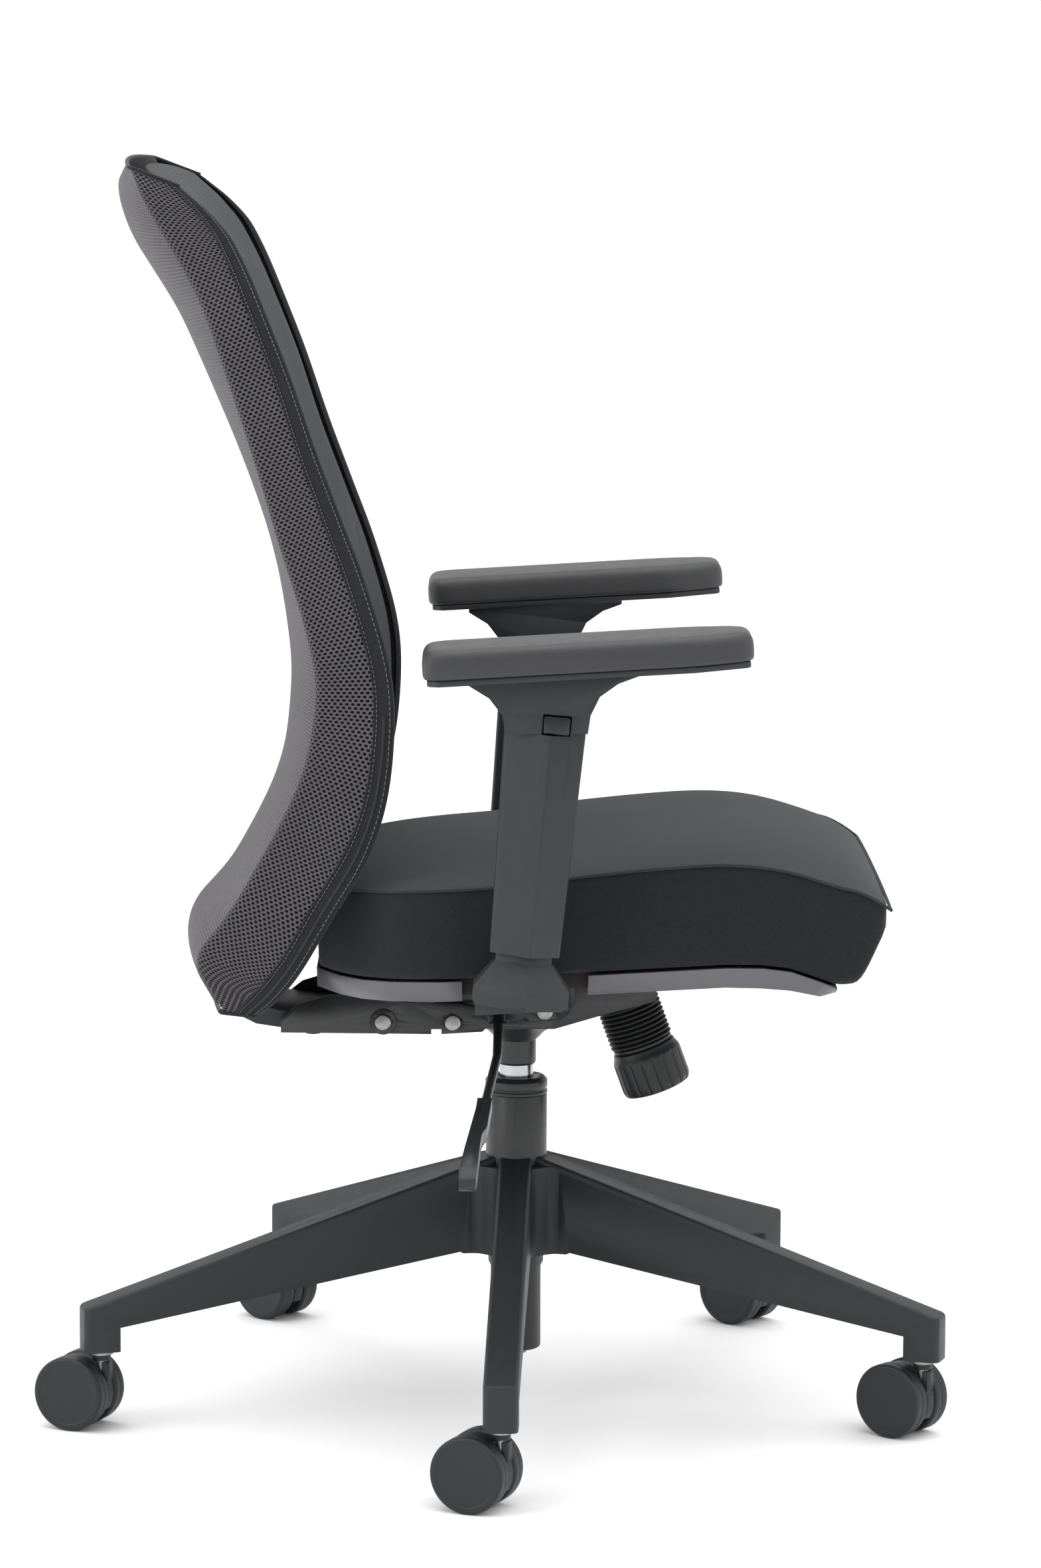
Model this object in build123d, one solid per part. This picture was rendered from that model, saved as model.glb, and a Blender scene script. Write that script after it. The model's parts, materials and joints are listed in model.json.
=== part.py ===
"""Swivel office chair with a five-star castor base, a gas lift, a tilting seat and back, and
height-adjustable arms.

Millimetres.  The origin is on the floor, on the axis of the gas lift.  +Z is up and the chair faces
-Y, so the sitter's right hand is on the -X side.  Heights in this file are measured from a datum plane
FLOOR below the floor, and every piece is lowered by FLOOR when it is written.
"""
from build123d import *
from math import cos, radians, sin, tan
import os

FLOOR = 12.8                   # height of the floor above the datum plane

# ---- base and castors ----
LEG_COUNT = 5
BASE_TURN = 177.768            # direction of the first leg, degrees from +X
STEM_CIRCLE = 346.3            # radius of the circle through the castor stems
LEG_WIDTH = 27.0
LEG_TIP = 362.3
LEG_TOP_AT_AXIS = 227.0        # the leg's top line, carried back to the axis
LEG_TOP_SLOPE = 0.3147
LEG_WALL = 3.5
LEG_ROUND = 3.5                # along the top edges
RIB = 2.4
HUB_RADIUS = 38.0
HUB_BOTTOM = 140.0
HUB_TOP = 213.0
SOCKET_BOTTOM = 77.0
SOCKET_INNER = 332.5           # the side of the castor socket that faces the hub
WHEEL_RADIUS = 30.0
WHEEL_WIDTH = 16.5
WHEEL_GAP = 12.0               # between the two wheels of a castor
TRAIL = 20.0                   # from the stem to the axle
AXLE_HEIGHT = FLOOR + WHEEL_RADIUS
AXLE_RADIUS = 3.0
STEM_RADIUS = 5.5
STEM_TOP = 97.0
RUNNING = 0.05                 # radial clearance of anything that turns or slides on a shaft
CASTOR_TURNS = [-23.0, -39.0, -40.0, -42.0, -23.0]   # each castor's axle about +Z, from +X

# ---- gas lift ----
TUBE_RADIUS = 25.0
TUBE_TOP = 270.0
TUBE_FOOT = 58.0
TUBE_FOOT_RADIUS = 20.5
BUSH_TOP = 284.0
CYLINDER_RADIUS = 14.0
PISTON_ROD_RADIUS = 5.0
CYLINDER_TAPER_START = 294.0
CYLINDER_TOP = 340.0
VALVE_TOP = 352.0              # top of the release pin

# ---- tilt mechanism ----
MAIN_PIVOT = (51.8, 337.7)     # Y and Z: chassis to back arm
REAR_PIVOT = (107.8, 338.2)    # back arm to seat plate
FRONT_PIVOT = (-22.3, 346.0)   # seat plate to chassis
PIN_RADIUS = 5.0
PIN_HEAD_RADIUS = 6.6
STEEL = 2.5                    # sheet thickness
PAN_HALF = 50.0                # half width over the chassis walls
EAR_INNER = 51.0               # the seat plate's ears run outside the chassis
BACK_ARM_OUTER = 57.5
BACK_BOLT_X = 25.0
BACK_BOLT_Y = 165.0
KNOB_TILT = 20.0               # the tension knob's axis leans forward from vertical
KNOB_TOP = (-91.4, 341.0)      # Y and Z of the zero point on the knob's axis
COLLAR_TOP = 31.0              # distance of the collar down the knob's axis
BOLT_RADIUS = 5.0

# ---- seat ----
SEAT_ORIGIN_Z = 379.6          # underside of the seat shell on the lift's axis
SEAT_TILT = 3.18               # degrees, front up

# ---- arms ----
ARM_X = 264.0                  # centre of each arm post
ARM_PAD_X = 275.0
ARM_LEAN = 5.1                 # degrees, top forward
ARM_FOOT = (0.4, 384.5)        # Y and Z of the foot on the post's centre line
PAD_TILT = 3.4

X_AXIS = Vector(1, 0, 0)


# ---- helpers ----
def rod(start, end, radius):
    """Round bar between two points."""
    along = Vector(end) - Vector(start)
    return Solid.make_cylinder(radius, along.length, Plane(origin=start, z_dir=along))


def tube(start, end, outer, inner):
    """Round tube between two points."""
    return rod(start, end, outer) - rod(start, end, inner)


def side_plate(outline, x_low, x_high):
    """Flat plate across X whose outline is given as (Y, Z) points."""
    corners = [Vector(x_low, y, z) for y, z in outline]
    return Solid.extrude(Face(Wire.make_polygon(corners)), Vector(x_high - x_low, 0, 0))


def flat_plate(outline, z_low, z_high):
    """Flat plate across Z whose outline is given as (X, Y) points."""
    corners = [Vector(x, y, z_low) for x, y in outline]
    return Solid.extrude(Face(Wire.make_polygon(corners)), Vector(0, 0, z_high - z_low))


def block(x_span, y_span, z_span):
    """Box between low and high values on each axis."""
    size = [high - low for low, high in (x_span, y_span, z_span)]
    return Solid.make_box(*size, Plane(origin=(x_span[0], y_span[0], z_span[0])))


def turned(profile):
    """Solid of revolution about Z from (radius, Z) points."""
    corners = [Vector(radius, 0, z) for radius, z in profile]
    return Solid.revolve(Face(Wire.make_polygon(corners)), 360, Axis.Z)


def loft_through(wires):
    """Solid through closed wires that have the same number of edges."""
    return Solid.make_loft(wires, ruled=True)


def save(name, *solids, drop=FLOOR):
    """Lower one node to the floor and write it; a node of several pieces is a group of solids."""
    pieces = [piece for solid in solids for piece in solid.solids()]
    if drop:
        pieces = [Pos(0, 0, -drop) * piece for piece in pieces]
    shape = pieces[0] if len(pieces) == 1 else Compound(children=pieces)
    shape.label = name
    export_step(shape, "parts/" + name + ".step")


# ---- five-star base ----
def leg_top(radius):
    return LEG_TOP_AT_AXIS - LEG_TOP_SLOPE * radius


def leg_turn(leg):
    """Direction of a leg in degrees from +X."""
    return BASE_TURN + leg * 360 / LEG_COUNT


def leg_solid():
    """One leg along +X with its castor socket, rounded along its top edges and at its tip."""
    outline = [(20, 141), (48, 143), (SOCKET_INNER, 97), (SOCKET_INNER, SOCKET_BOTTOM),
               (LEG_TIP, SOCKET_BOTTOM), (LEG_TIP, leg_top(LEG_TIP)), (20, leg_top(20))]
    corners = [Vector(radius, -LEG_WIDTH / 2, z) for radius, z in outline]
    leg = Solid.extrude(Face(Wire.make_polygon(corners)), Vector(0, LEG_WIDTH, 0))
    tip_edges = leg.edges().filter_by(Axis.Z).group_by(Axis.X)[-1]
    leg = fillet(tip_edges, 6)
    inner_edges = leg.edges().filter_by(Axis.Z).filter_by_position(Axis.X, SOCKET_INNER - 1, SOCKET_INNER + 1)
    leg = fillet(inner_edges, 4)
    crown = max(leg.faces(), key=lambda face: face.normal_at().Z * face.area)
    return fillet([edge for edge in crown.edges() if edge.center().X > 30], LEG_ROUND)


def hub_solid():
    """Centre of the star, with filleted corners between the legs."""
    plan = Circle(HUB_RADIUS)
    for leg in range(LEG_COUNT):
        plan += Rot(0, 0, leg_turn(leg)) * Pos(40, 0) * Rectangle(80, LEG_WIDTH)
    corners = [v for v in plan.vertices() if Vector(v.X, v.Y, 0).length < 2 * HUB_RADIUS]
    plan = fillet(corners, 11) & Circle(56)
    shape = turned([(0, HUB_BOTTOM), (50, 141), (58, 146), (58, 203), (47, 206), (40, HUB_TOP),
                    (0, HUB_TOP)])
    return extrude(Pos(0, 0, 60) * plan, 180) & shape


def leg_hollow():
    """Space under one leg along +X, less the ribs that cross it and the one along it."""
    start, end = 34.0, SOCKET_INNER - LEG_WALL
    half = LEG_WIDTH / 2 - LEG_WALL
    roof = LEG_WALL + 0.5
    outline = [(start, 60), (end, 60), (end, leg_top(end) - roof), (start, leg_top(start) - roof - 4)]
    corners = [Vector(radius, -half, z) for radius, z in outline]
    hollow = Solid.extrude(Face(Wire.make_polygon(corners)), Vector(0, 2 * half, 0))
    rib_outline = [(start, 152), (end, 105), (end, 200), (start, 240)]
    ribs = [(start - 1, -RIB / 2, end - start + 2, RIB)]
    ribs += [(radius, -half - 1, RIB, 2 * half + 2) for radius in range(80, 320, 48)]
    for radius, y, length, width in ribs:
        rib = Solid.make_box(length, width, 200, Plane(origin=(radius, y, 60)))
        corners = [Vector(r, -half - 1, z) for r, z in rib_outline]
        rib &= Solid.extrude(Face(Wire.make_polygon(corners)), Vector(0, 2 * half + 2, 0))
        hollow -= rib
    return hollow


def base_star():
    """Moulded star, open underneath, with a tapered bore for the lift tube."""
    leg = leg_solid()
    hollow = leg_hollow()
    hollow += rod((STEM_CIRCLE, 0, SOCKET_BOTTOM - 1), (STEM_CIRCLE, 0, STEM_TOP + 2), STEM_RADIUS + RUNNING)
    star = hub_solid()
    for number in range(LEG_COUNT):
        star += Rot(0, 0, leg_turn(number)) * leg
    for number in range(LEG_COUNT):
        star -= Rot(0, 0, leg_turn(number)) * hollow
    return star - turned([(0, 130), (22.5, 130), (TUBE_RADIUS, 212), (TUBE_RADIUS, 240), (0, 240)])


# ---- castors ----
def castor_frame(leg):
    """Turns a castor, modelled with its stem on the Z axis and its axle along X, to its place."""
    turn = radians(leg_turn(leg))
    place = Pos(STEM_CIRCLE * cos(turn), STEM_CIRCLE * sin(turn), 0)
    return place * Rot(0, 0, CASTOR_TURNS[leg])


def castor_fork():
    """Centre web between the wheels, open at the bottom, with the neck that holds the stem."""
    half = WHEEL_GAP / 2 - 1
    hub = (TRAIL, AXLE_HEIGHT)
    web = rod((-half, *hub), (half, *hub), WHEEL_RADIUS - 1.5)
    web -= block((-half - 1, half + 1), (-50, 60), (FLOOR - 5, FLOOR + 16))
    web -= rod((-half - 1, TRAIL, FLOOR + 8), (half + 1, TRAIL, FLOOR + 8), 17)
    neck_side = [(-7.5, 52), (-7.5, 68), (7.5, 68), (22, 66), (20, 50)]
    web += side_plate(neck_side, -half, half)
    web += rod((0, 0, 69.3), (0, 0, 74), 7.5)
    web += rod((-half, *hub), (half, *hub), 8)
    web -= rod((0, 0, 50), (0, 0, 75), STEM_RADIUS)
    return web - rod((-half - 1, *hub), (half + 1, *hub), AXLE_RADIUS)


def castor_pins():
    """Steel stem with its washer, and the axle: two separate pieces."""
    stem = rod((0, 0, 50), (0, 0, STEM_TOP), STEM_RADIUS)
    stem += rod((0, 0, 74), (0, 0, 76.2), 9.5)
    stem = chamfer(stem.edges().sort_by(Axis.Z)[-1], 1)
    reach = WHEEL_GAP / 2 + WHEEL_WIDTH - 4
    axle = rod((-reach, TRAIL, AXLE_HEIGHT), (reach, TRAIL, AXLE_HEIGHT), AXLE_RADIUS)
    return stem, axle


def castor_wheel(side):
    """Disc wheel with a closed outer face, a recess behind and a blind bore for the axle."""
    near = WHEEL_GAP / 2
    far = near + WHEEL_WIDTH
    profile = [(0, far), (WHEEL_RADIUS - 2, far), (WHEEL_RADIUS, far - 2), (WHEEL_RADIUS, near + 1.5),
               (WHEEL_RADIUS - 1.5, near), (WHEEL_RADIUS - 4, near), (WHEEL_RADIUS - 6, far - 4),
               (8, far - 4), (8, near), (AXLE_RADIUS + RUNNING, near), (AXLE_RADIUS + RUNNING, far - 3.5),
               (0, far - 3.5)]
    frame = Plane(origin=(0, TRAIL, AXLE_HEIGHT), x_dir=(0, 1, 0), z_dir=(side, 0, 0))
    return frame.location * turned(profile)


# ---- gas lift ----
def lift_tube():
    """Outer column: tapered where it seats in the base, with a floor that carries the rod."""
    outer = [(0, TUBE_FOOT), (TUBE_FOOT_RADIUS - 1.5, TUBE_FOOT), (TUBE_FOOT_RADIUS, TUBE_FOOT + 1.5),
             (TUBE_FOOT_RADIUS, 126), (22.5, 130), (TUBE_RADIUS, 212), (TUBE_RADIUS, TUBE_TOP),
             (0, TUBE_TOP)]
    inner = [(0, TUBE_FOOT + 4), (18.5, TUBE_FOOT + 4), (18.5, 126), (20.5, 131), (23, 208),
             (23, TUBE_TOP + 1), (0, TUBE_TOP + 1)]
    return turned(outer) - turned(inner) - rod((0, 0, 50), (0, 0, 70), PISTON_ROD_RADIUS + RUNNING)


def lift_guide_bush():
    """Plastic bush inside the top of the tube, with the collar that shows above it."""
    bore = CYLINDER_RADIUS + RUNNING
    return turned([(bore, 210), (22.95, 210), (22.95, TUBE_TOP), (25.4, TUBE_TOP), (25.4, 272.5),
                   (24.6, 273.2), (24.6, 274.4), (25.4, 275.1), (25.4, BUSH_TOP - 3),
                   (22.4, BUSH_TOP), (bore, BUSH_TOP)])


def lift_rod():
    """Piston rod, held at the tube's floor, with the piston that runs in the cylinder."""
    shaft = rod((0, 0, 50), (0, 0, 202), PISTON_ROD_RADIUS)
    shaft -= tube((0, 0, 53.5), (0, 0, 55.1), 6, 4.2)
    return shaft + rod((0, 0, 192), (0, 0, 202), 12.0 - RUNNING)


def lift_cylinder():
    """Pressure cylinder with a tapered top; the valve pin passes through its end."""
    bore = 12.0
    outer = turned([(0, 86), (CYLINDER_RADIUS, 86), (CYLINDER_RADIUS, CYLINDER_TAPER_START),
                    (13.2, CYLINDER_TOP), (0, CYLINDER_TOP)])
    outer -= rod((0, 0, 96), (0, 0, 312), bore)
    outer -= rod((0, 0, 80), (0, 0, 97), PISTON_ROD_RADIUS + RUNNING)
    return outer - rod((0, 0, 311), (0, 0, CYLINDER_TOP + 1), 3 + RUNNING)


# ---- tilt mechanism ----
def chassis_pan():
    """Pressed pan under the seat: two walls, a dished floor and the tapered socket of the lift."""
    wall = [(66, 357), (66, 352), (58, 343), (44, 334), (20, 331), (-30, 331), (-64, 341),
            (-112, 354), (-112, 372), (10, 370), (40, 364)]
    body = side_plate(wall, -PAN_HALF, PAN_HALF)
    inside = [(70, 380), (70, 356), (56, 346.5), (42, 337), (20, 334), (-30, 334), (-63, 344),
              (-109, 357), (-109, 380)]
    body -= side_plate(inside, STEEL - PAN_HALF, PAN_HALF - STEEL)
    socket = turned([(0, CYLINDER_TAPER_START), (14.6, CYLINDER_TAPER_START), (16, 296), (16, 314),
                     (24, 322), (42, 331), (42, 334), (20, 335), (16.5, CYLINDER_TOP),
                     (0, CYLINDER_TOP)])
    body += socket
    body -= turned([(0, 290), (CYLINDER_RADIUS + 0.02, 290), (CYLINDER_RADIUS, CYLINDER_TAPER_START),
                    (13.2, CYLINDER_TOP), (13.2, 345), (0, 345)])
    for y, z in (MAIN_PIVOT, FRONT_PIVOT):
        body -= rod((-70, y, z), (70, y, z), PIN_RADIUS)
    body -= block((-60, -40), (9, 21.5), (336, 353))
    shaft = knob_shaft()
    return body - rod(shaft(-30), shaft(12), BOLT_RADIUS)


def pin_with_heads(pivot, half):
    """Cross pin with a flat head beyond each end of its grip."""
    y, z = pivot
    pin = rod((-half, y, z), (half, y, z), PIN_RADIUS)
    for side in (-1, 1):
        head = rod((side * half, y, z), (side * (half + 3), y, z), PIN_HEAD_RADIUS)
        outer_edge = head.edges().sort_by(Axis.X)[-1 if side > 0 else 0]
        pin += chamfer(outer_edge, 0.8)
    return pin


def pivot_pins():
    """Main and front cross pins, fixed in the chassis walls; spacers sit beside the main pivot."""
    main = pin_with_heads(MAIN_PIVOT, BACK_ARM_OUTER + 0.3)
    y, z = MAIN_PIVOT
    for side in (-1, 1):
        main += tube((side * PAN_HALF, y, z), (side * (BACK_ARM_OUTER - STEEL - 0.2), y, z), 9, PIN_RADIUS)
    return main, pin_with_heads(FRONT_PIVOT, EAR_INNER + STEEL + 0.3)


def rear_pin():
    """Cross pin, fixed in the back arm, that carries the rear of the seat plate."""
    return pin_with_heads(REAR_PIVOT, BACK_ARM_OUTER + 1.8)


def back_arm():
    """Channel that carries the back: two side plates joined by a floor behind the rear pivot."""
    outline = [(190, 329), (69, 328), (69, 332), (61, 332), (61, 328), (28, 330), (22, 336), (30, 349),
               (46, 353), (90, 354), (150, 360), (176, 352), (190, 341)]
    inner = BACK_ARM_OUTER - STEEL
    arm = side_plate(outline, -BACK_ARM_OUTER, BACK_ARM_OUTER)
    arm -= block((-inner, inner), (0, 200), (331.4, 400))
    arm -= block((-inner, inner), (0, 122), (300, 400))
    y, z = REAR_PIVOT
    for side in (-1, 1):
        arm += rod((side * BACK_ARM_OUTER, y, z), (side * (BACK_ARM_OUTER + 1.5), y, z), 10.5)
    arm -= rod((-70, y, z), (70, y, z), PIN_RADIUS)
    arm -= rod((-70, *MAIN_PIVOT), (70, *MAIN_PIVOT), PIN_RADIUS + RUNNING)
    for x in (-BACK_BOLT_X, BACK_BOLT_X):
        arm -= rod((x, BACK_BOLT_Y, 320), (x, BACK_BOLT_Y, 340), 4)
    return arm


def hex_bolt(point, direction, length):
    """Bolt with its head's underside at a point and its shank running in a direction."""
    frame = Plane(origin=point, z_dir=direction)
    head = extrude(RegularPolygon(6.5, 6), -5.5)
    shank = Solid.make_cylinder(4, length)
    return frame.location * (head + shank)


def back_bolts():
    """Bolts from under the back arm into the foot of the upright."""
    return [hex_bolt((x, BACK_BOLT_Y, 328.4), (0, 0, 1), 14) for x in (-BACK_BOLT_X, BACK_BOLT_X)]


def knob_shaft():
    """Point at a distance down the tension knob's axis, measured from the pan."""
    lean = radians(KNOB_TILT)
    y, z = KNOB_TOP
    return lambda distance: (0, y - distance * sin(lean), z - distance * cos(lean))


def along_knob(profile):
    """Solid of revolution about the knob's axis from (radius, distance down the axis) points."""
    start = Vector(*knob_shaft()(0))
    frame = Plane(origin=start, z_dir=Vector(*knob_shaft()(1)) - start)
    return frame.location * turned(profile)


def tension_bellows():
    """Ribbed dust cover between the pan and the collar."""
    ribs = 9
    top = -4.0
    pitch = (COLLAR_TOP - 0.2 - top) / ribs
    outline = [(20, top), (23, top)]
    for rib in range(ribs):
        start = top + rib * pitch
        outline += [(26, start + 0.35 * pitch), (26, start + 0.65 * pitch), (23.2, start + pitch)]
    outline.append((20, COLLAR_TOP - 0.2))
    return along_knob(outline)


def tilt_spring():
    """Compression spring round the tension bolt, between the pan and the collar."""
    wire = 1.8
    height = COLLAR_TOP - 0.2 + 3.5 - 2 * wire
    path = Edge.make_helix(pitch=height / 5, height=height, radius=13)
    start = path @ 0
    section = Wire.make_circle(wire, Plane(origin=start, z_dir=path % 0))
    coil = Solid.sweep(section, path=path, is_frenet=True)
    top = Vector(*knob_shaft()(wire - 3.5))
    return Plane(origin=top, z_dir=Vector(*knob_shaft()(10)) - top).location * coil


def tension_collar():
    """Ring that the knob pushes up against the spring and the dust cover; it does not turn."""
    return along_knob([(BOLT_RADIUS + 0.3, COLLAR_TOP), (24.5, COLLAR_TOP), (24.5, COLLAR_TOP + 2.8),
                       (BOLT_RADIUS + 0.3, COLLAR_TOP + 2.8)])


def tension_bolt():
    """Bolt that hangs from the pan; the knob runs up its thread."""
    return along_knob([(0, -20), (9, -20), (9, -13.5), (BOLT_RADIUS, -13.5), (BOLT_RADIUS, 53),
                       (BOLT_RADIUS - 1, 54), (0, 54)])


def tension_knob():
    """Fluted knob with a rounded end; its bore takes the bolt."""
    bore = BOLT_RADIUS + RUNNING
    top = COLLAR_TOP + 3.1
    knob = along_knob([(bore, top), (25.5, top), (26, top + 3), (28.5, top + 8), (28.5, 66), (27, 70),
                       (21, 72.2), (0, 72.8), (0, 63), (bore, 63)])
    start = Vector(*knob_shaft()(0))
    axis = Axis(start, Vector(*knob_shaft()(1)) - start)
    lean = radians(KNOB_TILT)
    low = Vector(*knob_shaft()(top + 7))
    high = Vector(*knob_shaft()(80))
    rim = Vector(0, cos(lean), -sin(lean)) * 29.3
    flute = rod(low + rim, high + rim, 1.7)
    for turn in range(0, 360, 20):
        knob -= flute.rotate(axis, turn)
    return knob


def valve_pin():
    """Release pin of the gas cylinder."""
    return rod((0, 0, 314), (0, 0, VALVE_TOP), 3.0)


# ---- height lever ----
LEVER_PIVOT = (-44.0, 344.5)   # X and Z; the lever turns about Y
LEVER_ROUTE = [(4, 15, 356.3), (-22, 15, 356.3), (-50, 15.2, 342.5), (-80, 15.6, 333.4),
               (-112, 16.2, 320.5), (-232, 26, 304.5)]


def lever_rod():
    """Bent round bar from above the valve pin, out through the chassis wall, to the paddle."""
    path = FilletPolyline(*LEVER_ROUTE, radius=14)
    bar = sweep(Plane(origin=path @ 0, z_dir=path % 0) * Circle(3.75), path=path)
    y = LEVER_ROUTE[2][1]
    x, z = LEVER_PIVOT
    bar += rod((x, y - 4, z), (x, y + 4, z), 6.2)
    bar += rod((0, 0, VALVE_TOP + 0.3), (0, 0, 358), 6)
    bar += block((-5, 5), (0, 17), (353.2, 358))
    return bar - rod((x, y - 7, z), (x, y + 7, z), 2.5 + RUNNING)


def lever_pin():
    """Pin that the lever turns on, with the two cheeks that hold it in the chassis."""
    x, z = LEVER_PIVOT
    y = LEVER_ROUTE[2][1]
    pin = rod((x, y - 6.4, z), (x, y + 6.4, z), 2.5)
    for low, high in ((y - 6.4, y - 4.4), (y + 4.4, y + 6.4)):
        pin += block((x - 3.4, x + 8), (low, high), (334.3, z + 7))
    return pin


def lever_paddle():
    """Moulded grip with finger notches on its front edge and a curled tip."""
    top = [(-226, 309), (-300, 286), (-326, 275.5), (-336, 268), (-338, 261)]
    bottom = [(-334, 258), (-324, 263.5), (-300, 274.5), (-262, 287), (-226, 298.5)]
    corners = [Vector(x, 20, z) for x, z in top + bottom]
    blade = Solid.extrude(Face(Wire.make_polygon(corners)), Vector(0, 30, 0))
    plan = [(-226, 20.5), (-270, 24.5), (-282, 28.5), (-300, 30), (-330, 32), (-340, 34), (-340, 46),
            (-330, 46), (-290, 40), (-240, 33), (-226, 32)]
    blade &= flat_plate(plan, 250, 320)
    return blade - rod(LEVER_ROUTE[-2], LEVER_ROUTE[-1], 3.75 + RUNNING)


# ---- back ----
# Sections from top to bottom.  Each lies in a plane that holds the X direction: the seam line at the
# front edge and the crease line at the rear edge (Y, Z), the half width at the seam and at the crease,
# how far the rear cover bulges beyond the crease and how far the front sinks behind the seam.
BACK_SECTIONS = [
    ((264, 1009), (302, 1024), 162, 157, 8, 8),
    ((231, 982), (286, 989), 181, 174, 40, 20),
    ((211, 946), (249, 929), 188, 180, 30, 25),
    ((194, 904), (235, 890), 190, 181, 26, 27),
    ((179, 866), (222, 851), 190, 181, 22, 28),
    ((160, 810), (205, 798), 190, 181, 17, 30),
    ((139, 754), (187, 736), 190, 181, 13, 33),
    ((117, 694), (168, 676), 190, 181, 20, 29),
    ((99, 624), (157, 622), 190, 181, 25, 36),
    ((99, 576), (161, 585), 190, 181, 23, 38),
    ((104, 534), (168, 555), 190, 181, 20, 38),
    ((117, 494), (181, 525), 190, 181, 16, 37),
    ((149, 439), (210, 472), 190, 181, 13, 33),
    ((167, 407), (224, 448), 190, 181, 13, 29),
    ((190, 377), (256, 408), 187, 179, 17, 20),
    ((206, 364), (232, 365), 180, 174, 12, 3),
]
BACK_COVER = 3.0
CUSHION_THICK = 20.0


class BackSection:
    """One section of the back, with points given by X and by distance behind the seam line."""

    def __init__(self, seam, crease, seam_half, crease_half, bulge, sink):
        self.seam = Vector(0, *seam)
        self.line = Vector(0, *crease) - self.seam
        self.depth = self.line.length
        self.line = self.line.normalized()
        self.seam_half = seam_half
        self.crease_half = crease_half
        self.bulge = bulge
        self.sink = sink

    def point(self, x, behind):
        return self.seam + self.line * behind + X_AXIS * x

    def front(self, x):
        """Distance of the front surface behind the seam line."""
        return self.sink * (1 - (x / self.seam_half) ** 2)

    def rear(self, x):
        """Distance of the rear cover behind the seam line."""
        return self.depth + self.bulge * (1 - (x / self.crease_half) ** 2)

    def bow(self, half, side_behind, middle_behind):
        """Arc across the section from -half to +half."""
        ends = [self.point(x, side_behind) for x in (-half, half)]
        return Edge.make_three_point_arc(ends[0], self.point(0, middle_behind), ends[1])

    def ring(self, front_edge, rear_edge):
        """Closed wire from a front and a rear arc joined by straight sides."""
        left = Edge.make_line(front_edge @ 1, rear_edge @ 1)
        right = Edge.make_line(rear_edge @ 0, front_edge @ 0)
        return Wire([front_edge, left, rear_edge, right])


def back_mesh():
    """Stretched cover round the sides and rear of the back, open at the front, at its own height."""
    outer, inner = [], []
    for section in [BackSection(*values) for values in BACK_SECTIONS]:
        section.seam -= Vector(0, 0, FLOOR)
        seam_half, crease_half = section.seam_half, section.crease_half
        rear = section.depth + section.bulge
        front_edge = section.bow(seam_half, 0, 0.01)
        outer.append(section.ring(front_edge, section.bow(crease_half, section.depth, rear)))
        front_edge = section.bow(seam_half - BACK_COVER + 0.5, -6, -5.99)
        rear_edge = section.bow(crease_half - BACK_COVER, section.depth - BACK_COVER, rear - BACK_COVER)
        inner.append(section.ring(front_edge, rear_edge))
    return loft_through(outer) - loft_through(inner)


def back_cushion():
    """Padded front panel of the back; at the top it reaches over to the rear cover."""
    wires = []
    for number, values in enumerate(BACK_SECTIONS):
        section = BackSection(*values)
        end_thick = {0: 30, len(BACK_SECTIONS) - 1: 5}
        thick = end_thick.get(number, CUSHION_THICK)
        side_thick = end_thick.get(number, CUSHION_THICK - 6)
        half = section.seam_half - 5.5
        front_edge = section.bow(half, 1, section.sink)
        rear_edge = section.bow(half - 4, side_thick, section.sink + thick)
        wires.append(section.ring(front_edge, rear_edge))
    return loft_through(wires)


def back_frame():
    """Moulded frame inside the back: two side rails joined by three cross rails."""
    sections = [BackSection(*values) for values in BACK_SECTIONS]
    frame = None
    for side in (-1, 1):
        wires = []
        for section in sections[1:-1]:
            rear = min(section.depth - 8, 52)
            outer, inner = side * (section.seam_half - 18), side * (section.seam_half - 42)
            corners = [section.point(outer, 24), section.point(outer, rear), section.point(inner, rear + 2),
                       section.point(inner, 32)]
            wires.append(Wire.make_polygon(corners))
        rail = loft_through(wires)
        frame = rail if frame is None else frame + rail
    for first, start, stop in ((2, 0.1, 0.7), (6, 0.2, 0.5), (10, 0.1, 0.6)):
        wires = [cross_rail_ring(sections[first], sections[first + 1], part) for part in (start, stop)]
        frame += loft_through(wires)
    return frame


def cross_rail_ring(above, below, part):
    """Section of a cross rail behind the cushion, part of the way between two back sections."""
    def mix(high, low):
        return high + (low - high) * part
    half = mix(above.seam_half, below.seam_half) - 30
    sink = mix(above.sink, below.sink)
    points = []
    for x, behind in ((-half, 27), (0, sink + 22), (half, 27)):
        points.append([mix(above.point(x, behind + extra), below.point(x, behind + extra))
                       for extra in (0, 6)])
    front_edge = Edge.make_three_point_arc(*[pair[0] for pair in points])
    rear_edge = Edge.make_three_point_arc(*[pair[1] for pair in points])
    return above.ring(front_edge, rear_edge)


def back_upright():
    """Spine that rises from the back arm to the frame, curved like a J in side view."""
    rear = [(234, 366), (234, 376), (243, 398), (241, 424), (219, 462), (187, 527), (173, 590),
            (171, 645), (181, 700)]
    front = [(174.5, 702), (162, 645), (164, 590), (177, 523), (209, 458), (230, 420), (232, 398),
             (223, 376), (222, 366)]
    spine = side_plate(rear + front, -42, 42)
    foot = [(135, 331.6), (190, 332), (210, 335), (228, 344), (234, 356), (234, 368), (222.5, 368),
            (221, 357), (203, 349), (190, 346), (135, 345)]
    spine += side_plate(foot, -50, 50)
    for x in (-BACK_BOLT_X, BACK_BOLT_X):
        spine -= rod((x, BACK_BOLT_Y, 320), (x, BACK_BOLT_Y, 342.5), 4)
    return spine


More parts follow.
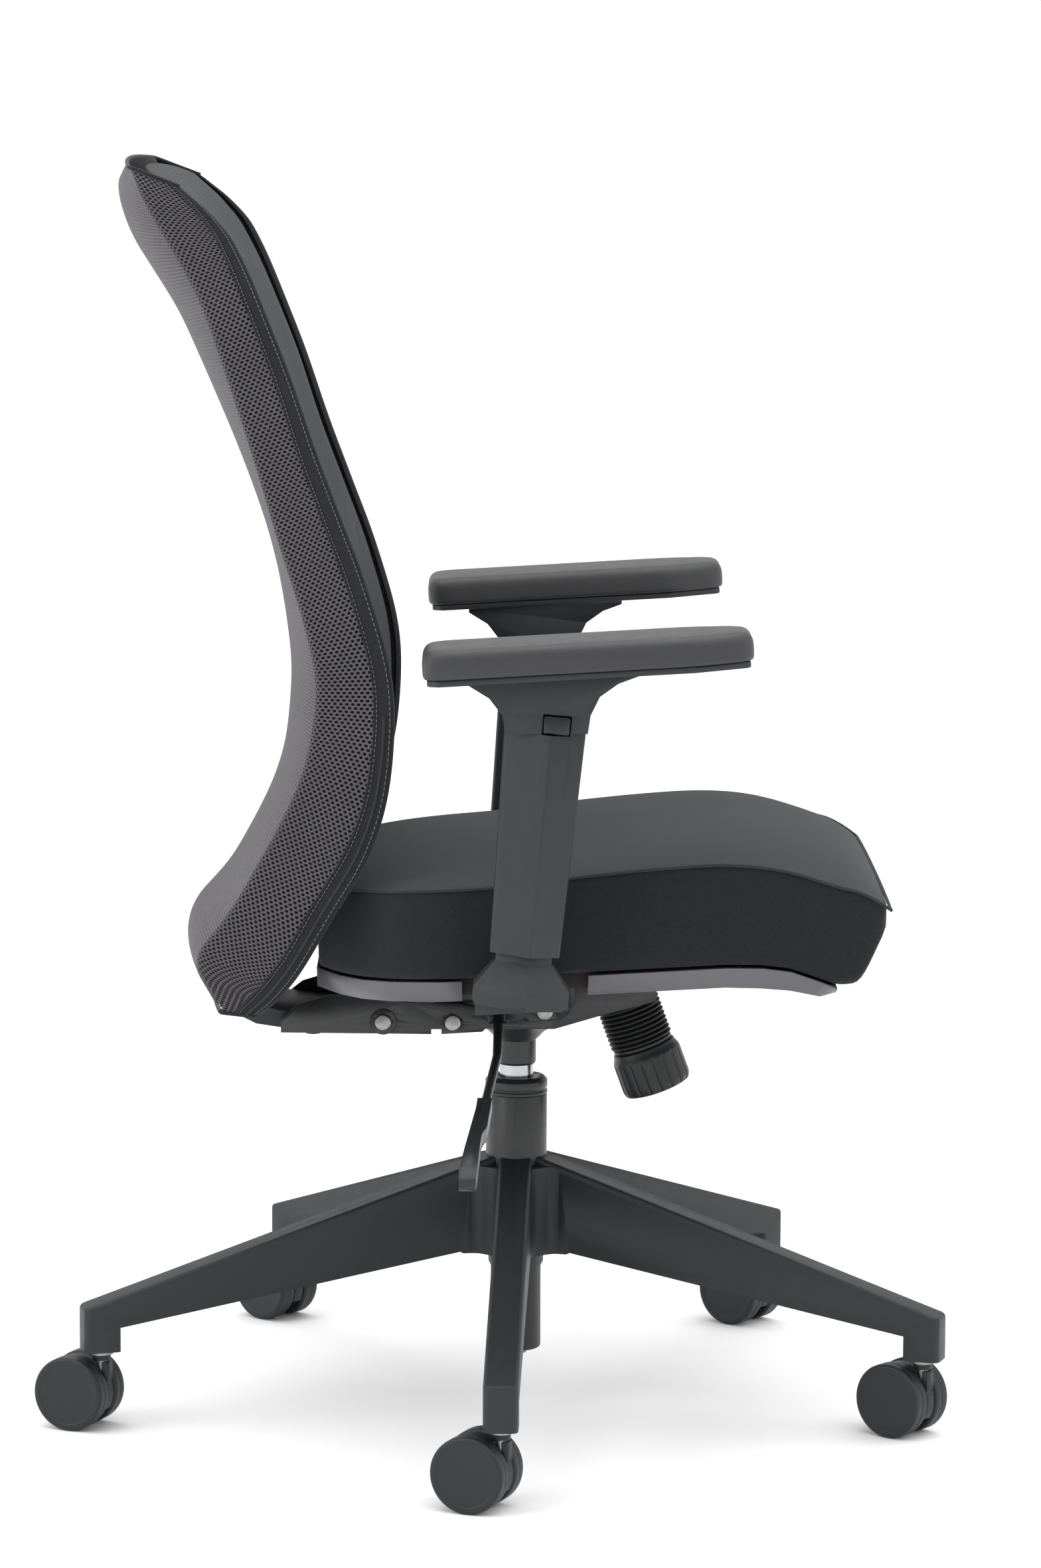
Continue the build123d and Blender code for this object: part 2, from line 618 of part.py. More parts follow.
# ---- seat ----
SEAT_FRAME = Pos(0, 0, SEAT_ORIGIN_Z) * Rot(-SEAT_TILT, 0, 0)
SEAT_BOLTS = [(-72, -90), (72, -90), (-72, 78), (72, 78)]
ARM_BOLTS = [(135, -22), (135, 18), (165, -2)]
# Each row: Y, half width, how far the shell drops below the seat line there, how far the fabric's
# lower edge is above that line, and the heights of the side seam and of the crown.
SEAT_SECTIONS = [
    (160, 100, 0, 18.6, 446, 456), (150, 123, 0, 18.6, 452, 464), (140, 145, 0, 18.6, 458, 471),
    (122, 171, 0, 18.6, 462, 477), (100, 189, 0, 18.6, 464, 480), (60, 204, 0, 18.6, 467, 484),
    (17, 206.5, 0, 18.6, 470, 488), (-60, 207, 0, 18.6, 480, 498), (-110, 207, 0, 18.6, 485, 503),
    (-161, 207, 0, 18.6, 488, 505), (-190, 207, 2.2, 16.8, 486, 503), (-212, 207, 5.1, 12.9, 482, 498),
    (-235, 207, 10.9, 3.7, 475, 490), (-248, 207, 8.1, -2.1, 471, 485),
]
# Front edge of the cushion: Y, half width, and heights of the lower edge, the seam and the crown.
FRONT_SECTIONS = [(-266, 206, 393, 466, 478), (-279, 204, 422, 459, 467), (-289, 201, 444, 452, 455)]


def seat_line(y):
    """Height of the shell's flat underside."""
    return SEAT_ORIGIN_Z - tan(radians(SEAT_TILT)) * y


def seat_board(z_low, z_high):
    """Flat board under the cushion with rounded rear corners, in the seat's own frame."""
    half = [(160, -172), (178, -156), (180, 40), (168, 95), (138, 125), (92, 142)]
    outline = half + [(-x, y) for x, y in reversed(half)]
    return flat_plate(outline, z_low, z_high)


def bolt_holes(solid, radius):
    """Drill a seat part for the bolts that come up from below."""
    for x, y in SEAT_BOLTS:
        solid -= rod((x, y, -10), (x, y, 13), radius)
    return solid


def seat_cushion():
    """Foam cushion: crowned above the side seam, with sides that lean in to the shell."""
    rows = [(y, half, seat_line(y) + rise, seam, crown) for y, half, _, rise, seam, crown in SEAT_SECTIONS]
    wires = []
    for y, half, low, seam, crown in rows + FRONT_SECTIONS:
        corners = [Vector(-half, y, seam), Vector(-half + 5, y, low), Vector(half - 5, y, low),
                   Vector(half, y, seam)]
        edges = [Edge.make_line(corners[number], corners[number + 1]) for number in range(3)]
        edges.append(Edge.make_three_point_arc(corners[3], Vector(0, y, crown), corners[0]))
        wires.append(Wire(edges))
    return loft_through(wires)


def seat_pan():
    """Board under the cushion."""
    board = bolt_holes(seat_board(4.9, 17.5), 4)
    for x, y in ARM_BOLTS:
        for side in (-1, 1):
            board -= rod((side * x, y, 0), (side * x, y, 13), 4)
    return SEAT_FRAME * board


def shell_wires(inset, floor, rim):
    """Sections of the shell's outside, or of its inside when given a wall thickness."""
    wires = []
    for y, half, drop, rise, _, _ in SEAT_SECTIONS:
        low, high = seat_line(y) - drop + floor, seat_line(y) + rise + rim
        top, bottom = half - 4.3 - inset, half - 22 - inset
        corners = [(-top, high), (-bottom, low), (bottom, low), (top, high)]
        wires.append(Wire.make_polygon([Vector(x, y, z) for x, z in corners]))
    return wires


def seat_shell():
    """Moulded tray under the seat, notched at each side for the arm."""
    tray = loft_through(shell_wires(0, 0, -0.4))
    inside = loft_through(shell_wires(3, 3, 2)) & block((-250, 250), (-244.5, 156.5), (350, 450))
    tray -= inside
    for low_x, high_x in ((-220, -108), (108, 220)):
        tray -= block((low_x, high_x), (-54, 44), (370, 430))
    return SEAT_FRAME * bolt_holes(SEAT_FRAME.inverse() * tray, 5)


def seat_plate():
    """Steel plate of the tilt mechanism, with an ear at each side for the front and rear pins."""
    plate = bolt_holes(block((-92, 92), (-112, 104), (-2.9, -0.2)), 4)
    for y in (-60, 30):
        plate -= block((-40, 40), (y - 22, y + 22), (-5, 5))
    plate = SEAT_FRAME * plate
    front_ear = [(-46, 380.3), (-46, 352), (-36, 339), (-10, 338), (2, 350), (3, 376.9)]
    rear_ear = [(86, 373.3), (88, 342), (97, 330), (118, 330), (126, 345), (103, 372.2)]
    for outline in (front_ear, rear_ear):
        for side in (-1, 1):
            low, high = sorted((side * EAR_INNER, side * (EAR_INNER + STEEL)))
            plate += side_plate(outline, low, high)
    plate -= rod((-70, *FRONT_PIVOT), (70, *FRONT_PIVOT), PIN_RADIUS + RUNNING)
    return plate - rod((-70, *REAR_PIVOT), (70, *REAR_PIVOT), PIN_RADIUS + 0.9)


def seat_bolts():
    """Bolts through the steel plate and the shell, and through the arm stems, into the board."""
    bolts = [SEAT_FRAME * hex_bolt((x, y, -2.9), (0, 0, 1), 15.5) for x, y in SEAT_BOLTS]
    for side in (-1, 1):
        bolts += [SEAT_FRAME * hex_bolt((side * x, y, 0.2), (0, 0, 1), 12.5) for x, y in ARM_BOLTS]
    return bolts


# ---- arms ----
ARM_FRAME = Pos(ARM_X, *ARM_FOOT) * Rot(ARM_LEAN, 0, 0)
PAD_FRAME = Pos(ARM_PAD_X, -50, 645.9) * Rot(-PAD_TILT, 0, 0)
STEM_TOP_LOCAL = 130.0
SLEEVE_FOOT = 44.0
SLEEVE_HEAD = 218.0


def keeled(half_rear, half_front, inner, shoulder, keel, z):
    """Five-sided section of the arm post, with its keel towards the outside."""
    points = [(inner, -half_front), (inner, half_rear), (shoulder, half_rear), (keel, -4.5),
              (shoulder, -half_front)]
    return Wire.make_polygon([Vector(x, y, z) for x, y in points])


def arm_stem():
    """Foot bolted under the seat board, and the keeled blade that the sleeve slides on."""
    foot = loft_through([keeled(34, 33, -24, 0, 15, 1.5), keeled(36.5, 37, -26, 2, 20, 6),
                         keeled(36, 37, -26, 3, 21, 17), keeled(21.5, 21.5, -13, 0, 9, 38)])
    blade = loft_through([keeled(21.5, 21.5, -13, 0, 9, 30), keeled(21.5, 21.5, -13, 0, 9, STEM_TOP_LOCAL)])
    stem = ARM_FRAME * (foot + blade)
    tongue = block((112, 248), (-38, 34), (0.2, 4.7)) + block((206, 250), (-38, 34), (0.2, 12))
    for x, y in ARM_BOLTS:
        tongue -= rod((x, y, -1), (x, y, 6), 4)
    return stem + SEAT_FRAME * tongue


def arm_sleeve():
    """Post that slides on the stem, flared at the top to carry the pad."""
    post = loft_through([keeled(26.5, 27, -20, 5, 19, SLEEVE_FOOT), keeled(31, 31, -20, 5, 20, SLEEVE_HEAD)])
    post = fillet(post.edges().filter_by(lambda edge: edge.length > 150), 3.5)
    cavity = loft_through([keeled(22, 22, -13.5, 0.3, 9.7, 40), keeled(22, 22, -13.5, 0.3, 9.7, 192)])
    head = [(11.5, 600), (14, 614), (24, 627), (40, 636.8), (40, 640.5), (-90, 648.2), (-90, 644.4),
            (-74, 638.4), (-60, 628.4), (-53, 614), (-51, 600)]
    sleeve = ARM_FRAME * (post - cavity) + side_plate(head, ARM_X - 20, ARM_X + 17)
    recess = block((6.5, 30), (-19, 3), (215.5, 231.5))
    return sleeve - ARM_FRAME * recess


def arm_button():
    """Height release in the front of the post."""
    button = block((10.3, 18.6), (-18, 2), (216.8, 230.2))
    button = fillet(button.edges().filter_by(Axis.X), 2)
    return ARM_FRAME * button


def pad_board(inset, z_low, z_high, corner):
    """Arm pad outline as a plate in the pad's own frame, with rounded corners."""
    outline = [(-44, 116), (-36, 124), (36, 124), (44, 116), (44, -84), (28, -127), (-28, -127), (-44, -84)]
    scale_x = (44 - inset) / 44
    scale_y = (125 - inset) / 125
    plate = flat_plate([(x * scale_x, y * scale_y) for x, y in outline], z_low, z_high)
    return fillet(plate.edges().filter_by(Axis.Z), corner)


def arm_pad_base():
    """Stiff plate under the pad."""
    return PAD_FRAME * pad_board(3, 0, 5, 6)


def arm_pad():
    """Soft pad with rounded edges."""
    pad = pad_board(0, 5.05, 27.5, 8)
    pad = fillet(pad.faces().sort_by(Axis.Z)[-1].edges(), 6)
    return PAD_FRAME * fillet(pad.faces().sort_by(Axis.Z)[0].edges(), 1.5)


# ---- small parts of the gas lift ----
def thrust_bearing():
    """Ring of steel that the buffer turns on, at the floor of the tube."""
    return tube((0, 0, 62.1), (0, 0, 67), 12, PISTON_ROD_RADIUS + RUNNING)


def rod_clip():
    """Spring clip in the groove under the tube's floor."""
    ring = tube((0, 0, 53.6), (0, 0, 55.0), 9, 4.25)
    return ring - block((-2, 2), (0, 12), (50, 60))


# ---- write every node ----
def main():
    os.makedirs("parts", exist_ok=True)
    for maker in (base_star, lift_tube, lift_guide_bush, lift_rod, thrust_bearing, rod_clip, lift_cylinder,
                  chassis_pan, back_arm, rear_pin, tension_bellows, tilt_spring, tension_collar,
                  tension_bolt, tension_knob, valve_pin, lever_rod, lever_pin, lever_paddle,
                  back_cushion, back_frame, back_upright, seat_cushion, seat_pan, seat_shell, seat_plate):
        save(maker.__name__, maker())
    save("back_mesh", back_mesh(), drop=0)
    for maker in (pivot_pins, back_bolts, seat_bolts):
        save(maker.__name__, *maker())
    for leg in range(LEG_COUNT):
        name = f"castor_{leg + 1}_"
        frame = castor_frame(leg)
        save(name + "fork", frame * castor_fork())
        save(name + "pins", *[frame * piece for piece in castor_pins()])
        save(name + "wheel_left", frame * castor_wheel(-1))
        save(name + "wheel_right", frame * castor_wheel(1))
    for maker in (arm_stem, arm_sleeve, arm_button, arm_pad_base, arm_pad):
        solid = maker()
        save(maker.__name__ + "_left", solid)
        save(maker.__name__ + "_right", solid.mirror(Plane.YZ))


main()
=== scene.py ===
"""Looks of the swivel office chair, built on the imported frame.  Metres, in the frame's own axes."""
import json
import math

import bmesh
import bpy
import numpy as np
from mathutils import Matrix, Vector

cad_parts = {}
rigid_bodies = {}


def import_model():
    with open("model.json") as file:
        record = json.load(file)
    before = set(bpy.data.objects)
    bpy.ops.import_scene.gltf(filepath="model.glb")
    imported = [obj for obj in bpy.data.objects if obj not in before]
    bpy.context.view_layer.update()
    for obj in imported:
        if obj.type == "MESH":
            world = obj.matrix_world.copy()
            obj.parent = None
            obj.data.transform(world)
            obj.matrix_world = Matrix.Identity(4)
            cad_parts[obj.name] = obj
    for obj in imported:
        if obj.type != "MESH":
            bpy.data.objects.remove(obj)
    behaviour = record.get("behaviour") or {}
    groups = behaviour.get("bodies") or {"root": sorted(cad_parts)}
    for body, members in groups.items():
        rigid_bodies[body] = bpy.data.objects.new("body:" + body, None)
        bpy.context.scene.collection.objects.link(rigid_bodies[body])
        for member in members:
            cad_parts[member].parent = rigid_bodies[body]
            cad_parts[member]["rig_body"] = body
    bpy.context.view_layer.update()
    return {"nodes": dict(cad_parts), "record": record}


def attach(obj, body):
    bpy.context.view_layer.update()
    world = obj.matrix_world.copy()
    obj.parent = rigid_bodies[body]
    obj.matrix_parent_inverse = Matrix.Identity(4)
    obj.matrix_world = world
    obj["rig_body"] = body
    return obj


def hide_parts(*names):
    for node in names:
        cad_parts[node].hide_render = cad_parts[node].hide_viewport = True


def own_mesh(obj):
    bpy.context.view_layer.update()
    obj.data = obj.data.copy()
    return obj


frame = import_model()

MM = 0.001
STITCH_SIDES = 5                # sides of a stitch's thread
CLOTH_FRAMES = 20               # steps of the cloth simulation
CLOTH_QUALITY = 5
FLOOR = 12.8                    # the tables below give heights from a datum this far under the floor
NODES = frame["nodes"]
JOINTS = {joint["name"]: joint for joint in frame["record"]["behaviour"]["joints"]}
SCENE = bpy.context.scene


# ---------------------------------------------------------------- materials
class Shader:
    """A procedural material under construction."""

    def __init__(self, name, rough, spec=0.5, metal=0.0, sheen=0.0):
        self.material = bpy.data.materials.new(name)
        self.material.use_nodes = True
        self.tree = self.material.node_tree
        self.bsdf = self.tree.nodes["Principled BSDF"]
        for socket, value in (("Roughness", rough), ("Specular IOR Level", spec), ("Metallic", metal),
                              ("Sheen Weight", sheen), ("Sheen Roughness", 0.5)):
            self.bsdf.inputs[socket].default_value = value
        self.place = self.node("ShaderNodeTexCoord").outputs["Object"]

    def node(self, kind, **settings):
        made = self.tree.nodes.new(kind)
        for key, value in settings.items():
            setattr(made, key, value)
        return made

    def link(self, output, target):
        self.tree.links.new(output, target)

    def noise(self, size, detail=3.0, stretch=(1, 1, 1)):
        """Noise between 0 and 1 whose features are about size metres across."""
        place = self.node("ShaderNodeMapping")
        place.inputs["Scale"].default_value = stretch
        self.link(self.place, place.inputs["Vector"])
        made = self.node("ShaderNodeTexNoise")
        made.inputs["Scale"].default_value = 1 / size
        made.inputs["Detail"].default_value = detail
        self.link(place.outputs["Vector"], made.inputs["Vector"])
        return made.outputs["Fac"]

    def math(self, operation, first, second=0.0, third=0.0):
        made = self.node("ShaderNodeMath", operation=operation)
        for socket, value in zip(made.inputs, (first, second, third)):
            if isinstance(value, (int, float)):
                socket.default_value = value
            else:
                self.link(value, socket)
        return made.outputs[0]

    def wave(self, direction, pitch, phase=0.0):
        """Sine along a direction of the object's own space, one period in pitch metres."""
        along = self.node("ShaderNodeVectorMath", operation="DOT_PRODUCT")
        along.inputs[1].default_value = direction
        self.link(self.place, along.inputs[0])
        turned = self.math("MULTIPLY_ADD", along.outputs["Value"], 2 * math.pi / pitch, phase)
        return self.math("SINE", turned)

    def blend(self, factor, first, second):
        made = self.node("ShaderNodeMix", data_type="RGBA")
        self.link(factor, made.inputs[0])
        for socket, value in ((made.inputs[6], first), (made.inputs[7], second)):
            if isinstance(value, tuple):
                socket.default_value = (*value, 1)
            else:
                self.link(value, socket)
        return made.outputs[2]

    def ramp(self, value, low, high):
        made = self.node("ShaderNodeMapRange")
        made.inputs["From Min"].default_value = low
        made.inputs["From Max"].default_value = high
        self.link(value, made.inputs["Value"])
        return made.outputs["Result"]

    def paint(self, colour):
        self.link(colour, self.bsdf.inputs["Base Color"])

    def relief(self, height, depth, strength=1.0):
        made = self.node("ShaderNodeBump")
        made.inputs["Strength"].default_value = strength
        made.inputs["Distance"].default_value = depth
        self.link(height, made.inputs["Height"])
        self.link(made.outputs["Normal"], self.bsdf.inputs["Normal"])

    def vary_roughness(self, factor, low, high):
        made = self.node("ShaderNodeMapRange")
        made.inputs["To Min"].default_value = low
        made.inputs["To Max"].default_value = high
        self.link(factor, made.inputs["Value"])
        self.link(made.outputs["Result"], self.bsdf.inputs["Roughness"])


def moulded(name, dark, light, rough=0.5, spec=0.35, grain=0.0009, depth=0.00005):
    """Moulded plastic: fine grain, faint flow variation and slightly uneven gloss."""
    shader = Shader(name, rough, spec)
    cloud = shader.noise(0.05, 4.0)
    fleck = shader.noise(grain * 1.4, 2.0)
    shader.paint(shader.blend(shader.ramp(fleck, 0.3, 0.7), shader.blend(cloud, dark, light),
                              shader.blend(cloud, light, dark)))
    shader.vary_roughness(shader.noise(0.012, 3.0), rough - 0.07, rough + 0.07)
    shader.relief(shader.noise(grain, 2.0), depth)
    return shader.material


def metal(name, dark, light, rough, metallic=1.0, stretch=(1, 1, 1), size=0.004, depth=0.00001):
    """Plated or painted steel with faint drawing marks."""
    shader = Shader(name, rough, 0.5, metal=metallic)
    marks = shader.noise(size, 4.0, stretch)
    shader.paint(shader.blend(marks, dark, light))
    shader.vary_roughness(shader.noise(size * 2.5, 3.0), rough * 0.75, rough * 1.3)
    shader.relief(marks, depth)
    return shader.material


def woven(name, dark, light, across, along, pitch=0.0011, rough=0.85, depth=0.00022, sheen=0.12):
    """Twill: ribs on the diagonal, crossed by the finer threads, with slubs and slow shade changes."""
    shader = Shader(name, rough, 0.2, sheen=sheen)
    diagonal = tuple(a + b for a, b in zip(across, along))
    rib = shader.wave(diagonal, pitch * 1.5)
    thread = shader.math("MULTIPLY", shader.wave(across, pitch), shader.wave(along, pitch))
    height = shader.math("MULTIPLY_ADD", thread, 0.5, rib)
    slub = shader.noise(0.0016, 3.0)
    shade = shader.math("MULTIPLY_ADD", height, 0.22, slub)
    cloth = shader.blend(shader.ramp(shade, 0.15, 0.85), dark, light)
    shader.paint(shader.blend(shader.ramp(shader.noise(0.07, 3.0), 0.2, 1.6), cloth, dark))
    shader.relief(shader.math("MULTIPLY_ADD", slub, 0.8, height), depth, 0.55)
    return shader.material


def front_mesh(name, ground, dash, light):
    """Close mesh of the front panel: short upright slots in offset rows on a fine knit."""
    shader = Shader(name, 0.8, 0.25, sheen=0.1)
    slots = shader.math("MULTIPLY", shader.wave((1, 0, 0), 0.0030), shader.wave((0, 0.26, 0.97), 0.0062))
    hole = shader.ramp(slots, 0.30, 0.55)
    knit = shader.math("MULTIPLY", shader.wave((0, 0, 1), 0.00155), shader.wave((1, 0, 0), 0.0015, 1.0))
    cloth = shader.blend(shader.ramp(knit, -1.0, 1.4), ground, light)
    cloth = shader.blend(shader.ramp(shader.noise(0.06), 0.2, 1.5), cloth, ground)
    shader.paint(shader.blend(hole, cloth, dash))
    shader.relief(shader.math("SUBTRACT", shader.math("MULTIPLY", knit, 0.25), hole), 0.0005, 0.7)
    return shader.material


MAT = {
    "nylon": moulded("glass_filled_nylon", (0.012, 0.0135, 0.015), (0.019, 0.021, 0.023), 0.5, 0.34),
    "castor": moulded("castor_nylon", (0.009, 0.010, 0.0112), (0.015, 0.0165, 0.018), 0.46, 0.36, 0.0006),
    "arm": moulded("arm_plastic", (0.011, 0.012, 0.0138), (0.022, 0.0235, 0.026), 0.52, 0.4, 0.0010,
                   0.00009),
    "button": moulded("button_plastic", (0.009, 0.010, 0.011), (0.014, 0.015, 0.016), 0.4, 0.4),
    "bush": moulded("bush_plastic", (0.010, 0.011, 0.012), (0.018, 0.019, 0.020), 0.38, 0.45, 0.0007),
    "lever": moulded("paddle_plastic", (0.010, 0.011, 0.0125), (0.018, 0.020, 0.022), 0.35, 0.45, 0.0008),
    "knob": moulded("knob_plastic", (0.007, 0.0075, 0.0085), (0.012, 0.013, 0.014), 0.4, 0.42, 0.0006),
    "rubber": moulded("bellows_rubber", (0.006, 0.0065, 0.007), (0.010, 0.0105, 0.0115), 0.48, 0.38, 0.0012),
    "frame": moulded("frame_plastic", (0.010, 0.011, 0.012), (0.016, 0.017, 0.019), 0.5, 0.35),
    "shell": moulded("shell_plastic", (0.082, 0.080, 0.088), (0.120, 0.117, 0.126), 0.42, 0.45, 0.0008,
                     0.00003),
    "pad": moulded("pad_skin", (0.019, 0.0195, 0.021), (0.034, 0.0345, 0.0365), 0.50, 0.42, 0.0008, 0.00007),
    "steel": metal("black_coat", (0.009, 0.0095, 0.0105), (0.016, 0.017, 0.018), 0.38, 0.0, size=0.002,
                   depth=0.00003),
    "bolts": metal("blackened_steel", (0.03, 0.03, 0.032), (0.06, 0.06, 0.062), 0.4, 0.8),
    "chrome": metal("chrome", (0.30, 0.305, 0.315), (0.46, 0.465, 0.475), 0.16, 1.0, (1, 1, 40), 0.03),
    "zinc": metal("zinc_plate", (0.17, 0.175, 0.17), (0.36, 0.365, 0.355), 0.34, 1.0),
    "board": moulded("stained_plywood", (0.018, 0.0155, 0.013), (0.032, 0.028, 0.024), 0.7, 0.3, 0.004,
                     0.00008),
    "seat_top": woven("seat_top_twill", (0.0062, 0.0076, 0.0091), (0.0172, 0.0203, 0.0236), (1, 0, 0),
                      (0, 1, 0)),
    "seat_side": woven("seat_side_twill", (0.0055, 0.0064, 0.008), (0.0145, 0.0163, 0.0195), (0, 1, 0),
                       (0, 0, 1)),
    "piping": woven("seat_piping", (0.015, 0.017, 0.019), (0.034, 0.037, 0.041), (0, 1, 0), (1, 0, 1),
                    0.0008),
    "panel": front_mesh("front_panel_mesh", (0.0085, 0.0096, 0.0112), (0.0036, 0.0041, 0.0047),
                        (0.0190, 0.0208, 0.0232)),
    "border": woven("border_tape", (0.008, 0.0083, 0.0098), (0.022, 0.0228, 0.026), (0, 1, 0), (0, 0, 1),
                    0.0016),
    # Painted shade: this sheet's dark colour stands in for the shade seen through the holes of the open back
    # mesh.
    "liner": woven("painted_shade_sheet", (0.007, 0.007, 0.0085), (0.014, 0.014, 0.017), (1, 0, 0), (0, 0, 1), 0.0012),
    "thread": woven("seam_thread", (0.10, 0.10, 0.11), (0.20, 0.20, 0.215), (0, 1, 0), (0, 0, 1), 0.0006),
    "spacer": woven("spacer_mesh", (0.054, 0.051, 0.058), (0.122, 0.116, 0.128), (1, 0, 0), (0, 1, 1), 0.0007,
                    0.68, 0.00012, 0.25),
}


# ---------------------------------------------------------------- mesh helpers
def finish_piece(name, mesh, material, body, stands_for=(), smooth=35):
    """Gives a mesh its object, its materials, its shading, and the body it rides on."""
    materials = [material] if isinstance(material, str) else material
    for key in materials:
        mesh.materials.append(MAT[key])
    mesh.polygons.foreach_set("use_smooth", [True] * len(mesh.polygons))
    if smooth:
        mesh.set_sharp_from_angle(angle=math.radians(smooth))
    piece = bpy.data.objects.new(name, mesh)
    SCENE.collection.objects.link(piece)
    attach(piece, body)
    if stands_for:
        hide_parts(*stands_for)
    return piece


def mesh_from(name, points, faces):
    """Mesh from points in metres and faces as index lists."""
    mesh = bpy.data.meshes.new(name)
    mesh.from_pydata([tuple(p) for p in points], [], faces)
    mesh.validate()
    mesh.update()
    return mesh


def grid_faces(rows, columns, closed=False, start=0):
    """Quads of a grid whose points are stored row by row."""
    faces = []
    for row in range(rows - 1):
        for column in range(columns if closed else columns - 1):
            after = (column + 1) % columns
            here, below = start + row * columns, start + (row + 1) * columns
            faces.append((here + column, here + after, below + after, below + column))
    return faces


def outward(mesh):
    """Turns the faces of a closed mesh outwards."""
    work = bmesh.new()
    work.from_mesh(mesh)
    bmesh.ops.recalc_face_normals(work, faces=work.faces)
    work.to_mesh(mesh)
    work.free()


def loft(name, rings):
    """Closed rings joined into a skin, with its two ends covered."""
    count = len(rings[0])
    points = [p for ring in rings for p in ring]
    faces = grid_faces(len(rings), count, closed=True)
    faces.append(tuple(reversed(range(count))))
    faces.append(tuple(range((len(rings) - 1) * count, len(rings) * count)))
    mesh = mesh_from(name, points, faces)
    outward(mesh)
    return mesh


def axes_about(direction):
    """A unit vector along the direction and two across it."""
    along = Vector(direction).normalized()
    side = along.orthogonal().normalized()
    return along, side, along.cross(side)


def lathe(name, origin, direction, profile, segments, flute=None):
    """Solid of revolution from (radius, distance along) in mm; flute changes a radius by its angle."""
    along, side, other = axes_about(direction)
    rings = []
    for radius, distance in profile:
        ring = []
        for step in range(segments):
            angle = 2 * math.pi * step / segments
            reach = flute(radius, distance, angle) if flute else radius
            offset = side * math.cos(angle) + other * math.sin(angle)
            ring.append(Vector(origin) + along * distance * MM + offset * max(reach, 0.01) * MM)
        rings.append(ring)
    return loft(name, rings)


def rounded(profile, radius, steps=4):
    """Profile with its corners rounded by an arc that starts radius away from each corner."""
    result = [profile[0]]
    for before, corner, after in zip(profile, profile[1:], profile[2:]):
        here, back, ahead = (Vector(p).to_2d() for p in (corner, before, after))
        reach = min(radius, (back - here).length * 0.45, (ahead - here).length * 0.45)
        start = here + (back - here).normalized() * reach
        end = here + (ahead - here).normalized() * reach
        for step in range(steps + 1):
            t = step / steps
            result.append(tuple(start * (1 - t) ** 2 + here * 2 * t * (1 - t) + end * t * t))
    result.append(profile[-1])
    return result


def tube_mesh(name, path, radius, sides=10):
    """Round tube along points in metres."""
    count = len(path)
    rings = []
    normal = None
    for number, point in enumerate(path):
        after = path[number + 1] if number < count - 1 else point
        before = path[number - 1] if number else point
        along = (after - before).normalized()
        if normal is None:
            normal = along.orthogonal()
        normal = (normal - along * normal.dot(along)).normalized()
        other = along.cross(normal)
        rings.append([point + (normal * math.cos(a) + other * math.sin(a)) * radius
                      for a in (2 * math.pi * k / sides for k in range(sides))])
    return loft(name, rings)


WELD = 2e-6                     # points of a CAD mesh nearer than this are one point, metres
FLAT_ANGLE = math.radians(0.6)  # faces that meet at less than this are one face
EDGE_ANGLE = math.radians(28)   # edges sharper than this are rounded


def softened(node, width, material, segments):
    """A CAD part with its edges rounded by width mm."""
    source = NODES[node]
    mesh = source.data.copy()
    mesh.materials.clear()
    work = bmesh.new()
    work.from_mesh(mesh)
    bmesh.ops.remove_doubles(work, verts=work.verts, dist=WELD)
    bmesh.ops.dissolve_limit(work, angle_limit=FLAT_ANGLE, verts=work.verts, edges=work.edges)
    for edge in work.edges:
        edge.smooth = True
    work.to_mesh(mesh)
    work.free()
    if "sharp_edge" not in mesh.attributes:
        mesh.attributes.new("sharp_edge", "BOOLEAN", "EDGE")
    piece = bpy.data.objects.new("raw_" + node, mesh)
    SCENE.collection.objects.link(piece)
    bevel = piece.modifiers.new("round", "BEVEL")
    bevel.width = width * MM
    bevel.segments = segments
    bevel.limit_method = "ANGLE"
    bevel.angle_limit = EDGE_ANGLE
    bevel.harden_normals = True
    bevel.miter_outer = "MITER_ARC"
    made = bpy.data.meshes.new_from_object(piece.evaluated_get(bpy.context.evaluated_depsgraph_get()))
    bpy.data.objects.remove(piece)
    return finish_piece(node + "_look", made, material, source["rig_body"], (node,), 0)


def smooth_steps(values, keys, at):
    """Cubic through values given at keys, evaluated at many places."""
    values, keys = np.asarray(values, float), np.asarray(keys, float)
    steps = np.diff(keys)
    slopes = np.diff(values) / steps
    tangents = np.concatenate([[slopes[0]], (slopes[:-1] * steps[1:] + slopes[1:] * steps[:-1])
                               / (steps[1:] + steps[:-1]), [slopes[-1]]])
    part = np.clip(np.searchsorted(keys, at, side="right") - 1, 0, len(steps) - 1)
    t = (at - keys[part]) / steps[part]
    h = steps[part]
    return (values[part] * (2 * t**3 - 3 * t**2 + 1) + tangents[part] * h * (t**3 - 2 * t**2 + t)
            + values[part + 1] * (3 * t**2 - 2 * t**3) + tangents[part + 1] * h * (t**3 - t**2))


